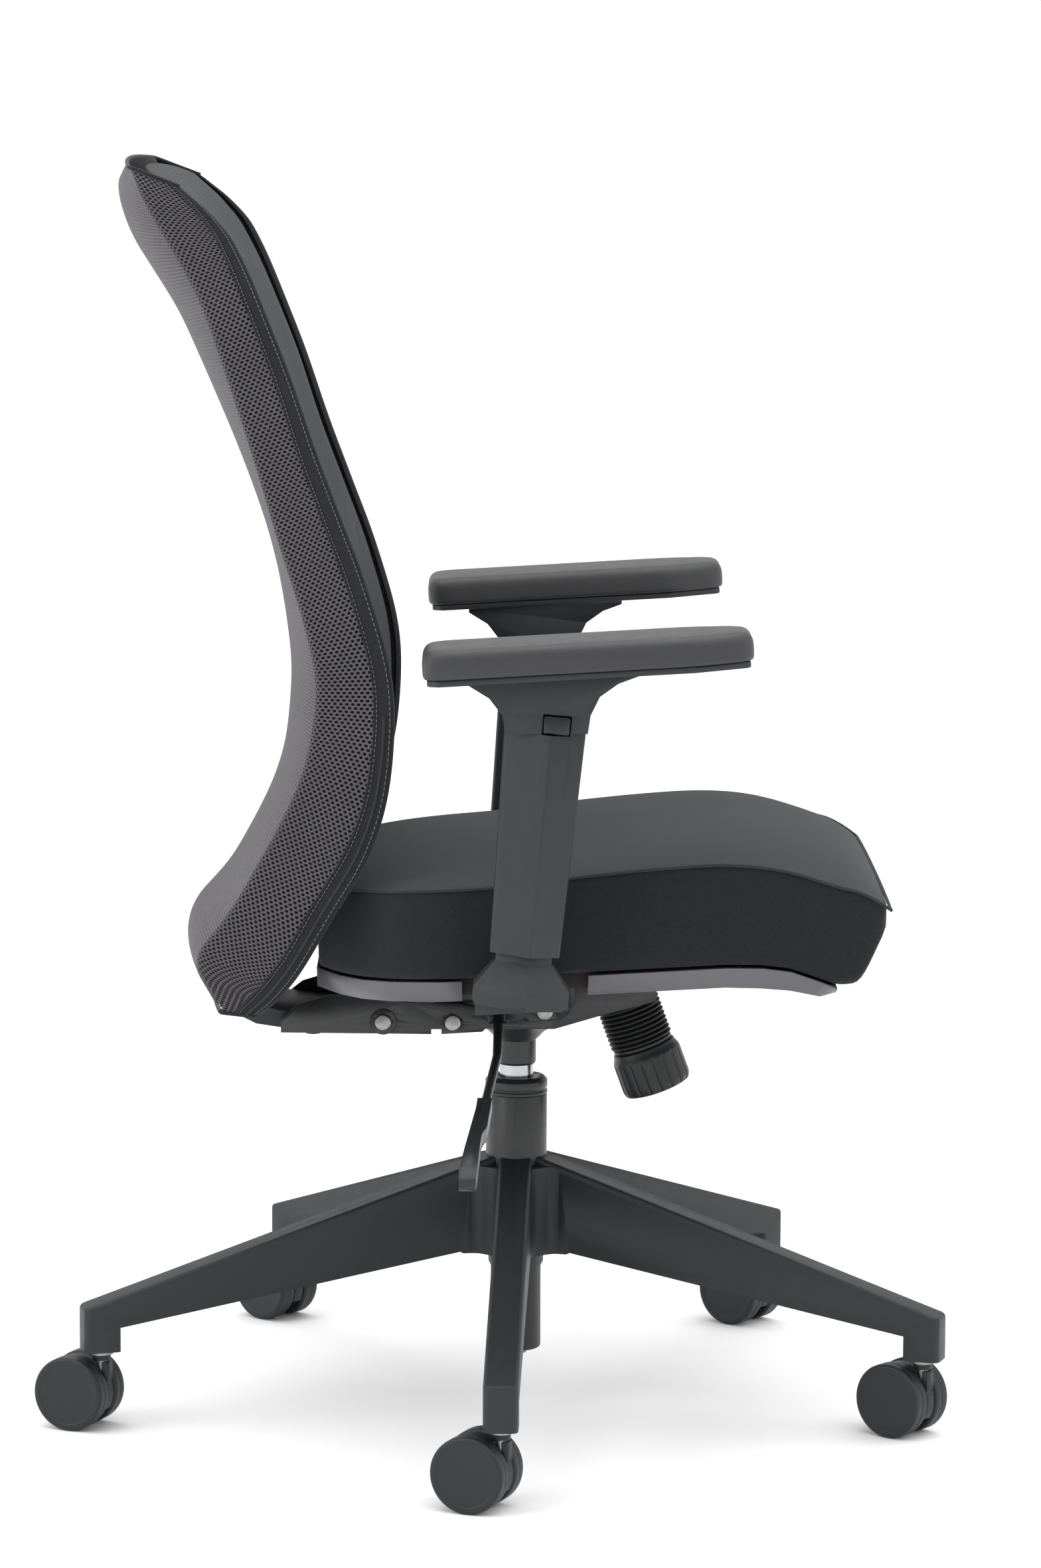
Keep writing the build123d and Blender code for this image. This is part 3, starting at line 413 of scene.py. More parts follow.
# ---------------------------------------------------------------- back
# Sections from the top edge to the bottom tip, as the frame has them: seam and crease as (Y, Z), half
# widths at both, bulge of the rear cover beyond the crease, and hollow of the front behind the seam.
BACK = [
    ((264, 1009), (302, 1024), 162, 157, 8, 8),
    ((231, 982), (286, 989), 181, 174, 40, 20),
    ((211, 946), (249, 929), 188, 180, 30, 25),
    ((194, 904), (235, 890), 190, 181, 26, 27),
    ((179, 866), (222, 851), 190, 181, 22, 28),
    ((160, 810), (205, 798), 190, 181, 17, 30),
    ((139, 754), (187, 736), 190, 181, 13, 33),
    ((117, 694), (168, 676), 190, 181, 20, 29),
    ((99, 624), (157, 622), 190, 181, 25, 36),
    ((99, 576), (161, 585), 190, 181, 23, 38),
    ((104, 534), (168, 555), 190, 181, 20, 38),
    ((117, 494), (181, 525), 190, 181, 16, 37),
    ((149, 439), (210, 472), 190, 181, 13, 33),
    ((167, 407), (224, 448), 190, 181, 13, 29),
    ((190, 377), (256, 408), 187, 179, 17, 20),
    ((206, 364), (232, 365), 180, 174, 12, 3),
]
BACK_KEYS = [0.0]
for above, below in zip(BACK, BACK[1:]):
    BACK_KEYS.append(BACK_KEYS[-1] + math.dist(above[1], below[1]))
BACK_LENGTH = BACK_KEYS[-1]
BACK_TABLE = np.array([[*seam, *crease, *rest] for seam, crease, *rest in BACK], float)
TOP_RIDGE, HEEL = BACK_KEYS[1], BACK_KEYS[-2]


def back_exact(s):
    """Section values at distances s (mm) down the back: straight above the top ridge and below the heel."""
    inner = np.clip(s, TOP_RIDGE, HEEL)
    found = []
    for column in range(BACK_TABLE.shape[1]):
        values = BACK_TABLE[:, column]
        middle = smooth_steps(values[1:-1], BACK_KEYS[1:-1], inner)
        top = np.interp(s, BACK_KEYS[:2], values[:2])
        bottom = np.interp(s, BACK_KEYS[-2:], values[-2:])
        found.append(np.where(s < TOP_RIDGE, top, np.where(s > HEEL, bottom, middle)))
    return found


TOP_ROUNDING = 34               # half width of the averaging along the back near its top, mm
ROUNDING = 17                   # and elsewhere


def back_rounded(s):
    """Section values with the top ridge and the heel rounded by averaging close neighbours."""
    widest = np.interp(s, [0, 90, 160, BACK_LENGTH], [TOP_ROUNDING, TOP_ROUNDING, ROUNDING, ROUNDING])
    reach = widest * np.tanh(np.minimum(s, BACK_LENGTH - s) / widest)
    taps = [back_exact(s + reach * share) for share in np.linspace(-1, 1, 11)]
    return [sum(column) / len(taps) for column in zip(*taps)]


FINE_KEYS = np.linspace(0, BACK_LENGTH, 1600)
FINE_VALUES = back_rounded(FINE_KEYS)


def back_values(s):
    """Rounded section values, read from a fine table."""
    return [np.interp(s, FINE_KEYS, column) for column in FINE_VALUES]


def section_place(x, behind, values):
    """Points from X and the distance behind the seam line, in metres."""
    seam_y, seam_z, crease_y, crease_z = values[:4]
    depth = np.hypot(crease_y - seam_y, crease_z - seam_z)
    y = seam_y + (crease_y - seam_y) * behind / depth
    z = seam_z + (crease_z - seam_z) * behind / depth - FLOOR
    return np.stack([x, y, z], axis=-1) * MM


def edge_reach(s):
    """Distance from the rear centre to the seam along the cover, and that to the crease."""
    seam_y, seam_z, crease_y, crease_z, seam_half, crease_half, bulge, _ = back_values(s)
    depth = np.hypot(crease_y - seam_y, crease_z - seam_z)
    rear = crease_half * (1 + (bulge / crease_half) ** 2 * 2 / 3)
    return rear + np.hypot(depth, seam_half - crease_half), rear


def cover_exact(a, s):
    """Cover points at a mm across from the rear centre and s mm down the back."""
    values = back_values(s)
    seam_y, seam_z, crease_y, crease_z, seam_half, crease_half, bulge, _ = values
    depth = np.hypot(crease_y - seam_y, crease_z - seam_z)
    reach, rear = edge_reach(s)
    size = np.abs(a)
    on_rear = size <= rear
    part = np.clip((size - rear) / (reach - rear), -0.2, 1.2)
    x = np.where(on_rear, crease_half * size / rear, crease_half + (seam_half - crease_half) * part)
    behind = np.where(on_rear, depth + bulge * (1 - (x / crease_half) ** 2), depth * (1 - part))
    return section_place(np.sign(a) * x, behind, values)


def cover_soft(a, s):
    """The cover with its crease rounded by averaging close neighbours."""
    return sum(cover_exact(a + da, s) for da in (-3.0, -1.5, 0.0, 1.5, 3.0)) / 5


def cover(a, s, lift):
    """Cover points raised by lift mm along the outward normal."""
    a, s, lift = (np.asarray(v, float) for v in np.broadcast_arrays(a, s, lift))
    across = cover_soft(a + 2, s) - cover_soft(a - 2, s)
    down = cover_soft(a, np.clip(s + 2, 0, BACK_LENGTH)) - cover_soft(a, np.clip(s - 2, 0, BACK_LENGTH))
    normal = np.cross(across, down)
    normal /= np.linalg.norm(normal, axis=-1, keepdims=True) + 1e-12
    return cover_soft(a, s) + normal * lift[..., None] * MM


def band_width(s):
    """Width of the border tape in front of the open mesh."""
    return np.interp(s, [0, 60, 250, 420, 560, BACK_LENGTH], [10, 9, 12, 13, 17, 15])


CELL_ROW = 0.88                 # a third of the row pitch, mm
CELL_HALF = 2.33                # half of the pitch across
HOLE = 0.60                     # size of a hole as a share of its cell


def spacer_half(side):
    """One half of the open mesh: every cell is six threads round a real hole."""
    corners = np.array([(0, 2), (1, 1), (1, -1), (0, -2), (-1, -1), (-1, 1)])
    rows = np.arange(1, int(BACK_LENGTH / CELL_ROW / 3))
    columns = np.arange(0, 62)
    row, column = (v.ravel() for v in np.meshgrid(rows, columns, indexing="ij"))
    centre_i = 2 * column + row % 2
    centre_j = 3 * row
    limit = edge_reach(centre_j * CELL_ROW)[0] - band_width(centre_j * CELL_ROW)
    first = np.where(row % 2, 0, 1) if side < 0 else 0
    keep = (centre_i * CELL_HALF < limit) & (column >= first)
    centre_i, centre_j = centre_i[keep], centre_j[keep]
    outer_i = centre_i[:, None] + corners[:, 0]
    outer_j = centre_j[:, None] + corners[:, 1]
    keys, index = np.unique(np.stack([outer_i.ravel(), outer_j.ravel()], axis=1), axis=0, return_inverse=True)
    index = index.reshape(outer_i.shape)
    inner_a = (centre_i[:, None] + corners[:, 0] * HOLE) * CELL_HALF
    inner_s = (centre_j[:, None] + corners[:, 1] * HOLE) * CELL_ROW
    outer_points = cover(side * keys[:, 0] * CELL_HALF, np.clip(keys[:, 1] * CELL_ROW, 0, BACK_LENGTH), 0.35)
    inner_points = cover(side * inner_a.ravel(), inner_s.ravel(), -0.25)
    points = np.concatenate([outer_points, inner_points])
    inner_index = len(outer_points) + np.arange(inner_a.size).reshape(inner_a.shape)
    after = np.roll(np.arange(6), -1)
    quads = np.stack([index, index[:, after], inner_index[:, after], inner_index], axis=-1).reshape(-1, 4)
    if side > 0:
        quads = quads[:, ::-1]
    mesh = bpy.data.meshes.new("spacer")
    mesh.vertices.add(len(points))
    mesh.vertices.foreach_set("co", points.astype(np.float32).ravel())
    mesh.loops.add(quads.size)
    mesh.loops.foreach_set("vertex_index", quads.astype(np.int32).ravel())
    mesh.polygons.add(len(quads))
    mesh.polygons.foreach_set("loop_start", np.arange(0, quads.size, 4, dtype=np.int32))
    mesh.update(calc_edges=True)
    return mesh


def build_cover():
    """Open mesh over the rear and sides, a dark sheet under it whose colour is painted shade seen through the
    holes, and the hems at its two ends.
    """
    for side, word in ((-1, "right"), (1, "left")):
        stands = ("back_mesh",) if side < 0 else ()
        finish_piece("back_spacer_mesh_" + word, spacer_half(side), "spacer", "back",
                     stands, 0)
    # Dark sheet just under the open mesh: its colour is painted shade, the shade seen through the mesh's
    # holes.
    s_values = np.linspace(1, BACK_LENGTH - 1, 130)
    shares = np.linspace(-1, 1, 91)
    reach = edge_reach(s_values)[0] - 3
    a = reach[:, None] * shares
    points = cover(a, np.broadcast_to(s_values[:, None], a.shape), -2.2).reshape(-1, 3)
    liner = mesh_from("liner", points, grid_faces(len(s_values), len(shares)))
    finish_piece("back_shade_sheet", liner, "liner", "back", smooth=0)
    for place, end in (("top", 1.5), ("bottom", BACK_LENGTH - 1.5)):
        span = edge_reach(np.array([end]))[0][0]
        path = cover(np.linspace(-span, span, 120), np.full(120, end), 0.3)
        hem = tube_mesh("hem", [Vector(p) for p in path], 1.7 * MM)
        finish_piece("back_hem_" + place, hem, "border", "back")


def build_border():
    """Tape over the cut edge of the mesh, rolled round the front edge on to the panel."""
    s_values = np.linspace(0.8, BACK_LENGTH - 0.8, 260)
    values = back_values(s_values)
    reach = edge_reach(s_values)[0]
    limit = reach - band_width(s_values)
    for side, word in ((-1, "right"), (1, "left")):
        columns = []
        for share, lift in ((-0.12, -0.9), (-0.04, 0.5), (0.05, 0.8), (0.3, 0.8), (0.6, 0.8), (0.88, 0.7)):
            columns.append(cover(side * (limit + (reach - limit) * share), s_values, lift))
        for inset, behind in ((-0.6, 0.2), (0.3, -1.0), (1.6, -1.7), (3.4, -1.5), (5.2, -0.2), (6.4, 2.4)):
            columns.append(section_place(side * (values[4] - inset), np.full_like(s_values, behind), values))
        points = np.stack(columns, axis=1).reshape(-1, 3)
        tape = mesh_from("tape", points, grid_faces(len(s_values), len(columns)))
        if side > 0:
            tape.flip_normals()
        finish_piece("back_border_" + word, tape, "border", "back", smooth=0)
        cord_line = [Vector(p) for p in cover(side * (limit - 0.2), s_values, 1.2)]
        finish_piece("back_edge_cord_" + word, tube_mesh("cord", cord_line, 0.75 * MM, 8), "border", "back")
        low = s_values > 0.62 * BACK_LENGTH
        zip_line = [Vector(p) for p in cover(side * (limit + (reach - limit) * 0.52), s_values, 1.1)[low]]
        finish_piece("back_zip_cord_" + word, tube_mesh("zip", zip_line, 1.0 * MM, 8), "piping", "back")
        for label, share, pitch in (("outer", 0.10, 3.1), ("inner", 0.86, 3.4)):
            finish_piece(f"back_stitch_{label}_{word}", stitches(side, limit, reach, s_values, share, pitch),
                         "thread", "back", smooth=0)


def stitches(side, limit, reach, s_values, share, pitch):
    """A row of short raised threads."""
    starts = np.arange(6, BACK_LENGTH - 6, pitch)
    rings = []
    for part, size in ((0.0, 0.14), (0.16, 0.34), (0.5, 0.40), (0.84, 0.34), (1.0, 0.14)):
        s = starts + part * pitch * 0.72
        lo, hi = np.interp(s, s_values, limit), np.interp(s, s_values, reach)
        centre = side * (lo + (hi - lo) * share)
        height = 1.25 + 0.25 * math.sin(math.pi * part)
        ring = [cover(centre + size * math.cos(angle), s, height + size * math.sin(angle))
                for angle in (math.tau * k / STITCH_SIDES for k in range(STITCH_SIDES))]
        rings.append(np.stack(ring, axis=1))
    block = np.stack(rings, axis=1)
    count = block.shape[0]
    faces = []
    for number in range(count):
        base = number * len(rings) * STITCH_SIDES
        last = base + len(rings) * STITCH_SIDES - 1
        faces += grid_faces(len(rings), STITCH_SIDES, closed=True, start=base)
        faces += [tuple(base + k for k in range(STITCH_SIDES)), tuple(last - k for k in range(STITCH_SIDES))]
    mesh = mesh_from("threads", block.reshape(-1, 3), faces)
    outward(mesh)
    return mesh


def swell(piece, pressure, cap, hold):
    """Inflates a closed mesh with cloth, keeps each point within cap metres, and applies the result."""
    mesh = piece.data
    start = np.array([v.co for v in mesh.vertices], float)
    group = piece.vertex_groups.new(name="held")
    for index, weight in hold.items():
        group.add([index], weight, "REPLACE")
    cloth = piece.modifiers.new("swell", "CLOTH")
    settings = cloth.settings
    settings.use_pressure = True
    settings.uniform_pressure_force = pressure
    settings.effector_weights.gravity = 0
    settings.vertex_group_mass = "held"
    settings.quality = CLOTH_QUALITY
    cloth.point_cache.frame_start = 1
    cloth.point_cache.frame_end = CLOTH_FRAMES
    for number in range(1, CLOTH_FRAMES + 1):
        SCENE.frame_set(number)
    made = piece.evaluated_get(bpy.context.evaluated_depsgraph_get()).to_mesh()
    moved = np.array([v.co for v in made.vertices], float)
    piece.evaluated_get(bpy.context.evaluated_depsgraph_get()).to_mesh_clear()
    piece.modifiers.clear()
    piece.vertex_groups.clear()
    SCENE.frame_set(1)
    step = moved - start
    length = np.linalg.norm(step, axis=1, keepdims=True)
    kept = start + step * np.minimum(1, cap / np.maximum(length, 1e-9)) * np.isfinite(length)
    mesh.vertices.foreach_set("co", kept.astype(np.float32).ravel())
    mesh.update()


def subdivided(piece):
    """Applies one subdivision to a piece's mesh."""
    smooth = piece.modifiers.new("smooth", "SUBSURF")
    smooth.levels = 1
    smooth.render_levels = 1
    smooth.boundary_smooth = "PRESERVE_CORNERS"
    made = bpy.data.meshes.new_from_object(piece.evaluated_get(bpy.context.evaluated_depsgraph_get()))
    piece.modifiers.clear()
    piece.data = made


PANEL_PRESSURE, PANEL_CAP = 3.0, 3.5 * MM
FRONT_POINTS, BACK_POINTS = 47, 25      # points across the panel's front and its hidden rear


def build_front_panel():
    """Padded front of the back: a closed form, rolled in at its edge, that fills the top of the cover."""
    s_values = np.concatenate([[0.2, 1.2, 3.5], np.linspace(8, BACK_LENGTH - 7, 84),
                               [BACK_LENGTH - 2.5, BACK_LENGTH - 1]])
    values = back_values(s_values)
    half, hollow = values[4] - 2.2, values[7]
    fade = np.clip(np.minimum(s_values, BACK_LENGTH - s_values) / 14, 0, 1)
    thick = np.interp(s_values, [0, 16, 40, BACK_LENGTH - 20, BACK_LENGTH], [28, 26, 17, 15, 4])
    ring = []
    for share in np.linspace(-1, 1, FRONT_POINTS):
        bend = share * (1 - 0.02 * share * share)
        x = half * bend
        round_in = 4.5 * np.abs(share) ** 14
        pillow = 2.2 * (1 - share**4) * fade
        ring.append(section_place(x, hollow * (1 - share * share) + round_in - pillow + 1.2, values))
    for share in np.linspace(1, -1, BACK_POINTS):
        x = (half - 4.5) * share
        deep = thick * (1 - 0.35 * abs(share) ** 3)
        ring.append(section_place(x, hollow * (1 - share * share) * 0.96 + deep, values))
    rings = [[Vector(column[row]) for column in ring] for row in range(len(s_values))]
    mesh = loft("panel", rings)
    piece = finish_piece("back_panel", mesh, "panel", "back", ("back_cushion",), 0)
    count = len(ring)
    held = {}
    for index in range(len(rings) * count):
        column = index % count
        row = index // count
        rear = column >= FRONT_POINTS - 1 or column == 0
        held[index] = 1.0 if rear or row < 3 or row > len(rings) - 4 else 0.0
    swell(piece, PANEL_PRESSURE, PANEL_CAP, held)
    subdivided(piece)


# ---------------------------------------------------------------- seat
SEAT_PRESSURE, SEAT_CAP = 4.0, 4.5 * MM
SEAT_SECTIONS = 74
SEAM_CREASE = 0.85
SEAT_TILT = math.radians(3.18)
SEAT_UNDER = 379.6 - FLOOR      # shell's underside on the lift's axis
# Y, half width, lower edge above the shell's line, and heights of the seam and the crown.
SEAT = [
    (160, 100, 18.6, 446, 456), (150, 123, 18.6, 452, 464), (140, 145, 18.6, 458, 471),
    (122, 171, 18.6, 462, 477), (100, 189, 18.6, 464, 480), (60, 204, 18.6, 467, 484),
    (17, 206.5, 18.6, 470, 488), (-60, 207, 18.6, 480, 498), (-110, 207, 18.6, 485, 503),
    (-161, 207, 18.6, 488, 505), (-190, 207, 16.8, 486, 503), (-212, 207, 12.9, 482, 498),
    (-235, 207, 3.7, 475, 490), (-248, 207, -2.1, 471, 485),
]
SEAT_FRONT = [(-266, 206, 393, 466, 478), (-279, 204, 422, 459, 467), (-289, 201, 444, 452, 455)]


def build_seat():
    """Seat cushion: top and side panels meet at a seam, swollen between the lines that hold them."""
    table = [(y, half, SEAT_UNDER - math.tan(SEAT_TILT) * y + rise, seam - FLOOR, crown - FLOOR)
             for y, half, rise, seam, crown in SEAT]
    table += [(y, half, low - FLOOR, seam - FLOOR, crown - FLOOR) for y, half, low, seam, crown in SEAT_FRONT]
    table = np.array(table)
    keys = np.concatenate([[0], np.cumsum(np.hypot(np.diff(table[:, 0]), np.diff(table[:, 1]) * 0.6))])
    at = np.linspace(0, keys[-1], SEAT_SECTIONS)
    y, half, low, seam, crown = (smooth_steps(table[:, c], keys, at) if c in (0, 1, 3, 4)
                                 else np.interp(at, keys, table[:, c]) for c in range(5))
    under, side, top = 20, 8, 44
    rings = []
    for row in range(len(at)):
        ring = []
        for k in range(under):
            share = -1 + 2 * k / under
            ring.append((share * (half[row] - 5), low[row] + 0.6))
        for k in range(side):
            share = k / side
            ring.append((half[row] - 5 + 5 * share ** 0.8, low[row] + 0.6 + (seam[row] - low[row]) * share))
        for k in range(top):
            share = 1 - 2 * k / top
            ring.append((half[row] * share, seam[row] + (crown[row] - seam[row]) * (1 - abs(share) ** 2.6)))
        for k in range(side):
            share = 1 - k / side
            ring.append((-half[row] + 5 - 5 * share ** 0.8, low[row] + 0.6 + (seam[row] - low[row]) * share))
        rings.append([Vector((x, y[row], z)) * MM for x, z in ring])
    count = len(rings[0])
    mesh = loft("seat", rings)
    seam_columns = (under + side, under + side + top)
    tags = []
    for face in mesh.polygons:
        columns = sorted({v % count for v in face.vertices})
        upper = columns[0] >= seam_columns[0] and columns[-1] <= seam_columns[1]
        tags.append(0 if upper and len(face.vertices) == 4 else 1)
    mesh.polygons.foreach_set("material_index", tags)
    crease = mesh.attributes.new("crease_edge", "FLOAT", "EDGE")
    for edge in mesh.edges:
        ends = [v % count for v in edge.vertices]
        if ends[0] == ends[1] and ends[0] in seam_columns:
            crease.data[edge.index].value = SEAM_CREASE
    piece = finish_piece("seat_cushion_look", mesh, ["seat_top", "seat_side"], "seat",
                         ("seat_cushion",), 0)
    held = {}
    for index in range(len(rings) * count):
        column, row = index % count, index // count
        firm = column <= under or column in seam_columns or row in (0, len(rings) - 1)
        held[index] = 1.0 if firm else 0.0
    swell(piece, SEAT_PRESSURE, SEAT_CAP, held)
    welt = [piece.data.vertices[row * count + seam_columns[0]].co.copy() for row in range(len(rings))]
    nose = [piece.data.vertices[(len(rings) - 1) * count + c].co.copy()
            for c in range(seam_columns[0] + 1, seam_columns[1])]
    other = [piece.data.vertices[row * count + seam_columns[1]].co.copy() for row in range(len(rings))]
    subdivided(piece)
    line = welt + nose + other[::-1]
    finish_piece("seat_welt", tube_mesh("welt", line, 1.35 * MM, 8), "piping", "seat",
                 smooth=0)


# ---------------------------------------------------------------- arm pads
PAD_TILT = math.radians(3.4)
PAD_HALF, PAD_REACH = 44, 125   # half width and half length that the insets shrink, mm
PAD_TOP = 27.9


def pad_outline(steps=6):
    """Outline of the arm pad with rounded corners, (X, Y) in mm."""
    outline = [(-44, 116), (-36, 124), (36, 124), (44, 116), (44, -84), (28, -127), (-28, -127), (-44, -84)]
    ring = []
    for number, corner in enumerate(outline):
        back, ahead = Vector(outline[number - 1]), Vector(outline[(number + 1) % len(outline)])
        here = Vector(corner)
        start = here + (back - here) * min(0.45, 14 / (back - here).length)
        end = here + (ahead - here) * min(0.45, 14 / (ahead - here).length)
        for step in range(steps + 1):
            t = step / steps
            ring.append(start * (1 - t) ** 2 + here * 2 * t * (1 - t) + end * t * t)
    dense = []
    for first, second in zip(ring, ring[1:] + ring[:1]):
        pieces = max(1, round((second - first).length / 8))
        dense += [first.lerp(second, k / pieces) for k in range(pieces)]
    return dense


def build_pads():
    """Arm pads: a soft skin with a rounded rim, flat where it sits on its base."""
    outline = pad_outline()
    profile = [(2.6, 5.1), (1.0, 5.6), (0.3, 6.8), (0.0, 8.6), (-0.1, 13), (0.0, 17.5), (0.5, 20.5),
               (1.6, 23.2), (3.4, 25.4), (6.0, 26.8), (9.5, 27.35), (15, 27.6), (24, 27.8), (34, 27.9)]
    for side, word in ((-1, "right"), (1, "left")):
        joint = next(m for m in frame["record"]["mounts"] if m["name"] == "arm_rest_" + word)
        top = Vector(joint["pos_m"])
        turn = Matrix.Rotation(-PAD_TILT, 4, "X")
        place = Matrix.Translation(top) @ turn @ Matrix.Translation((0, 0, -27.5 * MM))
        rings = []
        for inset, height in profile:
            ring = []
            for point in outline:
                x, y = point.x * (PAD_HALF - inset) / PAD_HALF, point.y * (PAD_REACH - inset) / PAD_REACH
                ring.append(place @ (Vector((side * x, y, min(height, PAD_TOP))) * MM))
            rings.append(ring)
        mesh = loft("pad", rings)
        piece = finish_piece("arm_pad_skin_" + word, mesh, "pad", "arm_" + word,
                             ("arm_pad_" + word,), 0)


# ---------------------------------------------------------------- tension knob and dust cover
def build_tension():
    """Ribbed bellows and the fluted knob."""
    turn = JOINTS["tension_turn"]
    origin, down = Vector(turn["pos_m"]), -Vector(turn["axis"])
    top, bottom, ribs = -3.8, 30.6, 9
    pitch = (bottom - top) / ribs
    profile = [(21.2, top), (23.2, top)]
    for rib in range(ribs):
        start = top + rib * pitch
        for share in np.linspace(0.06, 1.0, 9):
            profile.append((23.15 + 2.75 * math.sin(math.pi * share) ** 0.8, start + share * pitch))
    profile += [(21.2, bottom), (20.6, bottom - 1)]
    cover_mesh = lathe("bellows", origin, down, profile + [(20.6, top + 0.5)], 72)
    piece = finish_piece("tension_bellows_look", cover_mesh, "rubber", "chassis",
                         ("tension_bellows",), 50)
    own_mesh(piece)

    flutes, flute_depth, flute_start, flute_end = 18, 1.1, 41, 70

    def flute(radius, distance, angle):
        """Radius of the knob with its finger grooves cut in."""
        if radius < 25 or distance < flute_start or distance > flute_end:
            return radius
        depth = max(0.0, math.cos(flutes * angle)) ** 6
        return radius - flute_depth * depth * min(1, (distance - flute_start) / 4)

    high = 34.3
    shape = rounded([(6, high), (25.5, high), (26.2, high + 3), (28.4, high + 8), (28.5, 66), (27, 70.4),
                     (21, 72.1), (8, 72.6)], 1.4)
    shape = [p for first, second in zip(shape, shape[1:]) for p in
             [tuple(Vector(first).lerp(Vector(second), k / 4)) for k in range(4)]] + [(0.0, 72.7)]
    finish_piece("tension_knob_look", lathe("knob", origin, down, shape, 216, flute), "knob", "tension_knob",
                 ("tension_knob",), 40)


# ---------------------------------------------------------------- castor wheels
def build_wheels():
    """Castor wheels with a stepped rim and a groove round the tread."""
    profile = rounded([(0, 21.7), (11, 21.8), (20, 21.9), (24.2, 22.0), (24.8, 22.45), (27.6, 22.5),
                       (29.2, 21.9), (30, 20.2), (30, 14.6), (29.7, 14.3), (29.7, 13.8), (30, 13.5),
                       (30, 8.2), (29.2, 6.6), (27.4, 6), (24.6, 6), (24, 7), (23.6, 16), (9, 16), (8.2, 15),
                       (8, 6), (4, 6), (3.3, 7), (3.3, 18), (0, 18)], 0.7, 3)
    for leg in range(1, 6):
        for word, side in (("left", -1), ("right", 1)):
            name = f"castor_{leg}_wheel_{word}"
            spin = JOINTS[name + "_spin"]
            outside = Vector(spin["axis"]) * side
            wheel = lathe("wheel", Vector(spin["pos_m"]), outside, profile, 72)
            finish_piece(name + "_look", wheel, "castor", name, (name,), 40)


# ---------------------------------------------------------------- the hard parts
# Parts whose CAD shape is right: rounding of their edges in mm, material, and slot.
HARD = {
    "base_star": (1.1, "nylon", "base_plastic"), "lift_tube": (0.8, "steel", "black_steel"),
    "lift_guide_bush": (0.5, "bush", "bush_plastic"), "chassis_pan": (0.7, "steel", "black_steel"),
    "back_arm": (0.8, "steel", "black_steel"), "seat_plate": (0.7, "steel", "black_steel"),
    "back_upright": (4.0, "frame", "frame_plastic"), "seat_shell": (0.9, "shell", "shell_plastic"),
    "lever_paddle": (1.6, "lever", "bush_plastic"), "tension_collar": (0.6, "knob", "bush_plastic"),
    "pivot_pins": (0.5, "zinc", "zinc_steel"), "rear_pin": (0.5, "zinc", "zinc_steel"),
    "back_bolts": (0.5, "bolts", "black_bolts"), "seat_bolts": (0.5, "bolts", "black_bolts"),
}
# Parts that keep the CAD mesh as it is and only take a material.
PLAIN = {
    "lift_cylinder": "chrome", "lift_rod": "chrome", "thrust_bearing": "zinc", "rod_clip": "zinc",
    "valve_pin": "zinc", "tension_bolt": "zinc", "tilt_spring": "zinc", "lever_rod": "steel",
    "lever_pin": "steel", "back_frame": "frame", "seat_pan": "board",
}


def build_hard_parts():
    """Edges rounded on the parts in HARD, and materials on the parts in PLAIN."""
    for word in ("left", "right"):
        HARD["arm_stem_" + word] = (1.4, "arm", "arm_plastic")
        HARD["arm_sleeve_" + word] = (1.2, "arm", "arm_plastic")
        HARD["arm_pad_base_" + word] = (1.2, "arm", "arm_plastic")
        HARD["arm_button_" + word] = (0.8, "button", "button_plastic")
    for leg in range(1, 6):
        HARD[f"castor_{leg}_fork"] = (0.9, "castor", "castor_plastic")
        PLAIN[f"castor_{leg}_pins"] = "zinc"
    for node, (width, material, slot) in HARD.items():
        softened(node, width, material, segments=3 if width > 1 else 2)
    for node, material in PLAIN.items():
        part = NODES[node]
        if not part.material_slots:
            part.data.materials.append(None)
        for place in part.material_slots:
            place.material = MAT[material]


# ---------------------------------------------------------------- stage, light and camera
def area_light(name, place, target, size, power):
    """Rectangular soft light at a place, turned towards a target."""
    data = bpy.data.lights.new(name, "AREA")
    data.shape = "RECTANGLE"
    data.size, data.size_y = size
    data.energy = power
    light = bpy.data.objects.new(name, data)
    light.location = place
    light.rotation_euler = (Vector(target) - Vector(place)).to_track_quat("-Z", "Y").to_euler()
    SCENE.collection.objects.link(light)


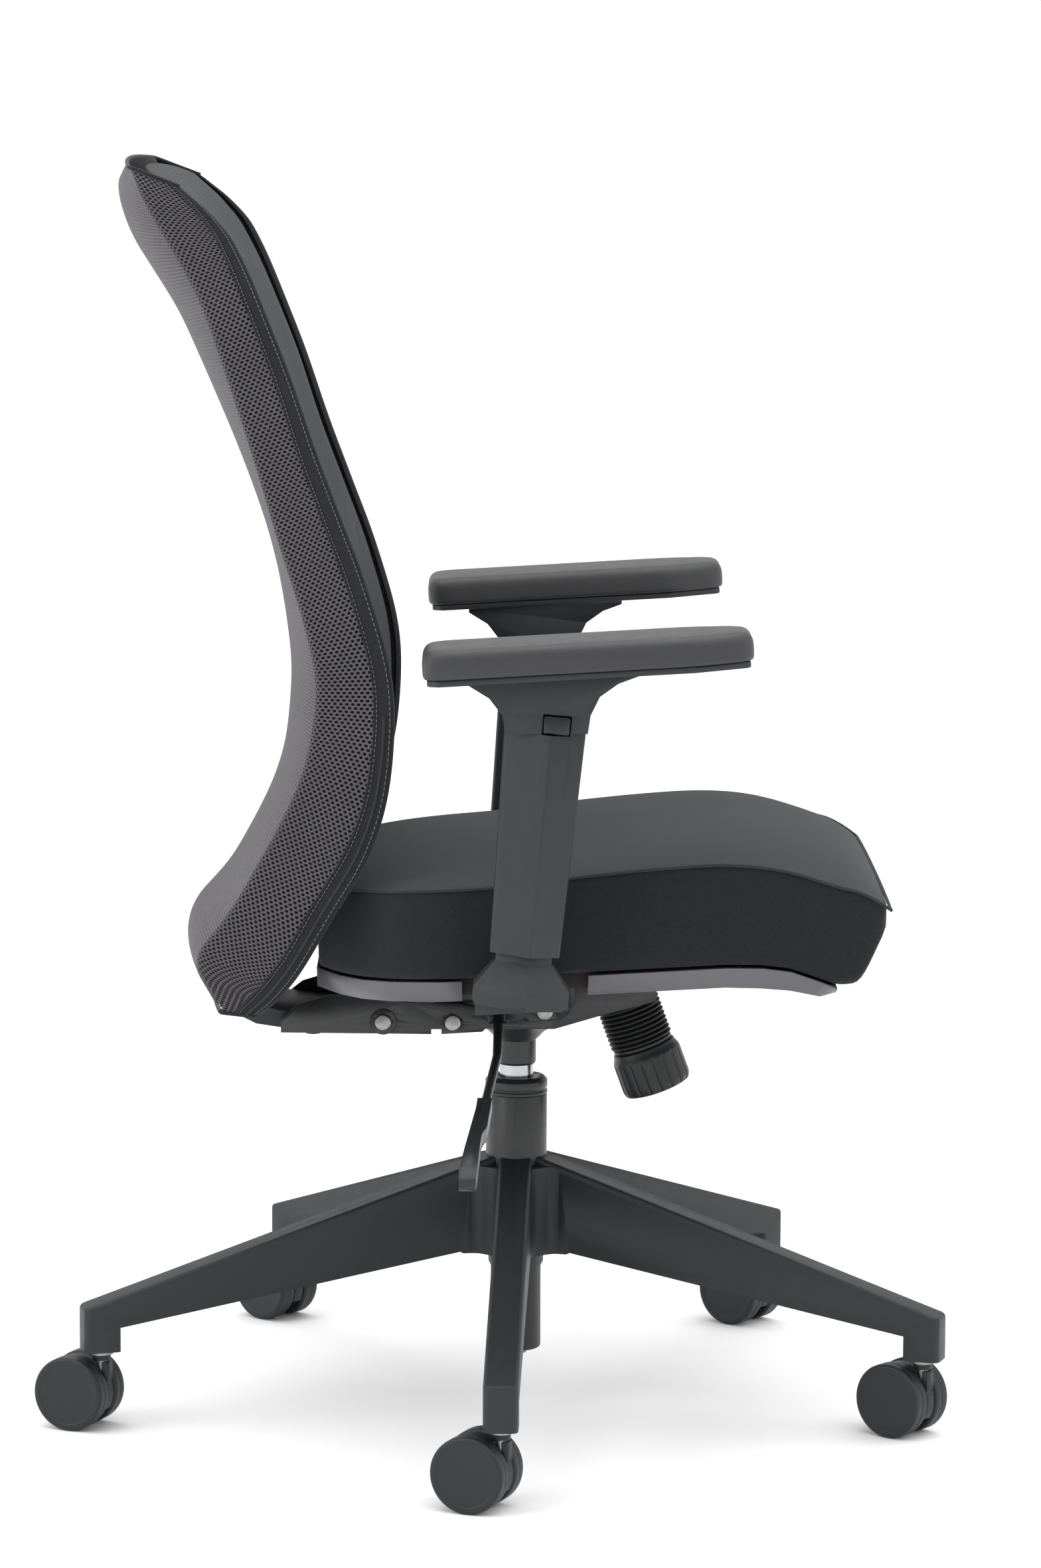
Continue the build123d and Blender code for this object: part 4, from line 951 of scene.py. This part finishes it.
def build_stage():
    """Pale floor, white surroundings, and soft studio lights."""
    shader = Shader("floor_paint", 0.9, 0.1)
    shader.paint(shader.blend(shader.noise(0.4), (0.93, 0.93, 0.94), (0.96, 0.96, 0.965)))
    sides, inner, outer = 64, 2, 40
    rings = [[Vector((radius * math.cos(a), radius * math.sin(a), 0)) for a in
              (math.tau * k / sides for k in range(sides))] for radius in (inner, outer)]
    mesh = mesh_from("floor", [p for ring in rings for p in ring],
                     grid_faces(2, sides, closed=True) + [tuple(reversed(range(sides)))])
    outward(mesh)
    mesh.materials.append(shader.material)
    floor = bpy.data.objects.new("floor", mesh)
    SCENE.collection.objects.link(floor)
    world = bpy.data.worlds.new("studio")
    SCENE.world = world
    world.use_nodes = True
    world.node_tree.nodes["Background"].inputs["Color"].default_value = (1, 1, 1, 1)
    world.node_tree.nodes["Background"].inputs["Strength"].default_value = 1.0
    sun = bpy.data.lights.new("overhead", "SUN")
    sun.energy = 1.3
    sun.angle = math.radians(80)
    overhead = bpy.data.objects.new("overhead", sun)
    overhead.rotation_euler = (math.radians(8), math.radians(-6), 0)
    SCENE.collection.objects.link(overhead)
    area_light("rear_box", (-1.2, 2.6, 1.5), (0, 0.15, 0.7), (1.6, 1.8), 30)
    area_light("front_box", (-0.8, -2.8, 1.8), (0, 0, 0.5), (1.6, 1.6), 12)
    area_light("top_box", (0.2, 0.0, 3.0), (0, 0, 0.4), (2.4, 2.4), 26)


CAMERA_TURN = (0.0084, 0.1362, 0.0038)                      # yaw, pitch and roll in radians
CAMERA_PLACE = (-4.477, 0.0352, 1.1369 - FLOOR * MM)
CAMERA_LENS, CAMERA_SENSOR = 128.2, 36


def build_camera():
    """Long lens at the chair's right side, a little above the seat, looking along +X."""
    yaw, pitch, roll = CAMERA_TURN
    forward = Vector((math.cos(yaw) * math.cos(pitch), -math.sin(yaw) * math.cos(pitch), -math.sin(pitch)))
    right = Vector((-math.sin(yaw), -math.cos(yaw), 0))
    up = right.cross(forward)
    leaned = right * math.cos(roll) + up * math.sin(roll)
    upright = up * math.cos(roll) - right * math.sin(roll)
    data = bpy.data.cameras.new("camera")
    data.lens = CAMERA_LENS
    data.sensor_width = CAMERA_SENSOR
    camera = bpy.data.objects.new("camera", data)
    SCENE.collection.objects.link(camera)
    place = Matrix((leaned, upright, -forward)).transposed().to_4x4()
    place.translation = Vector(CAMERA_PLACE)
    camera.matrix_world = place
    SCENE.camera = camera


SCENE.view_settings.view_transform = "Standard"
build_cover()
build_border()
build_front_panel()
build_seat()
build_pads()
build_tension()
build_wheels()
build_hard_parts()
build_stage()
build_camera()
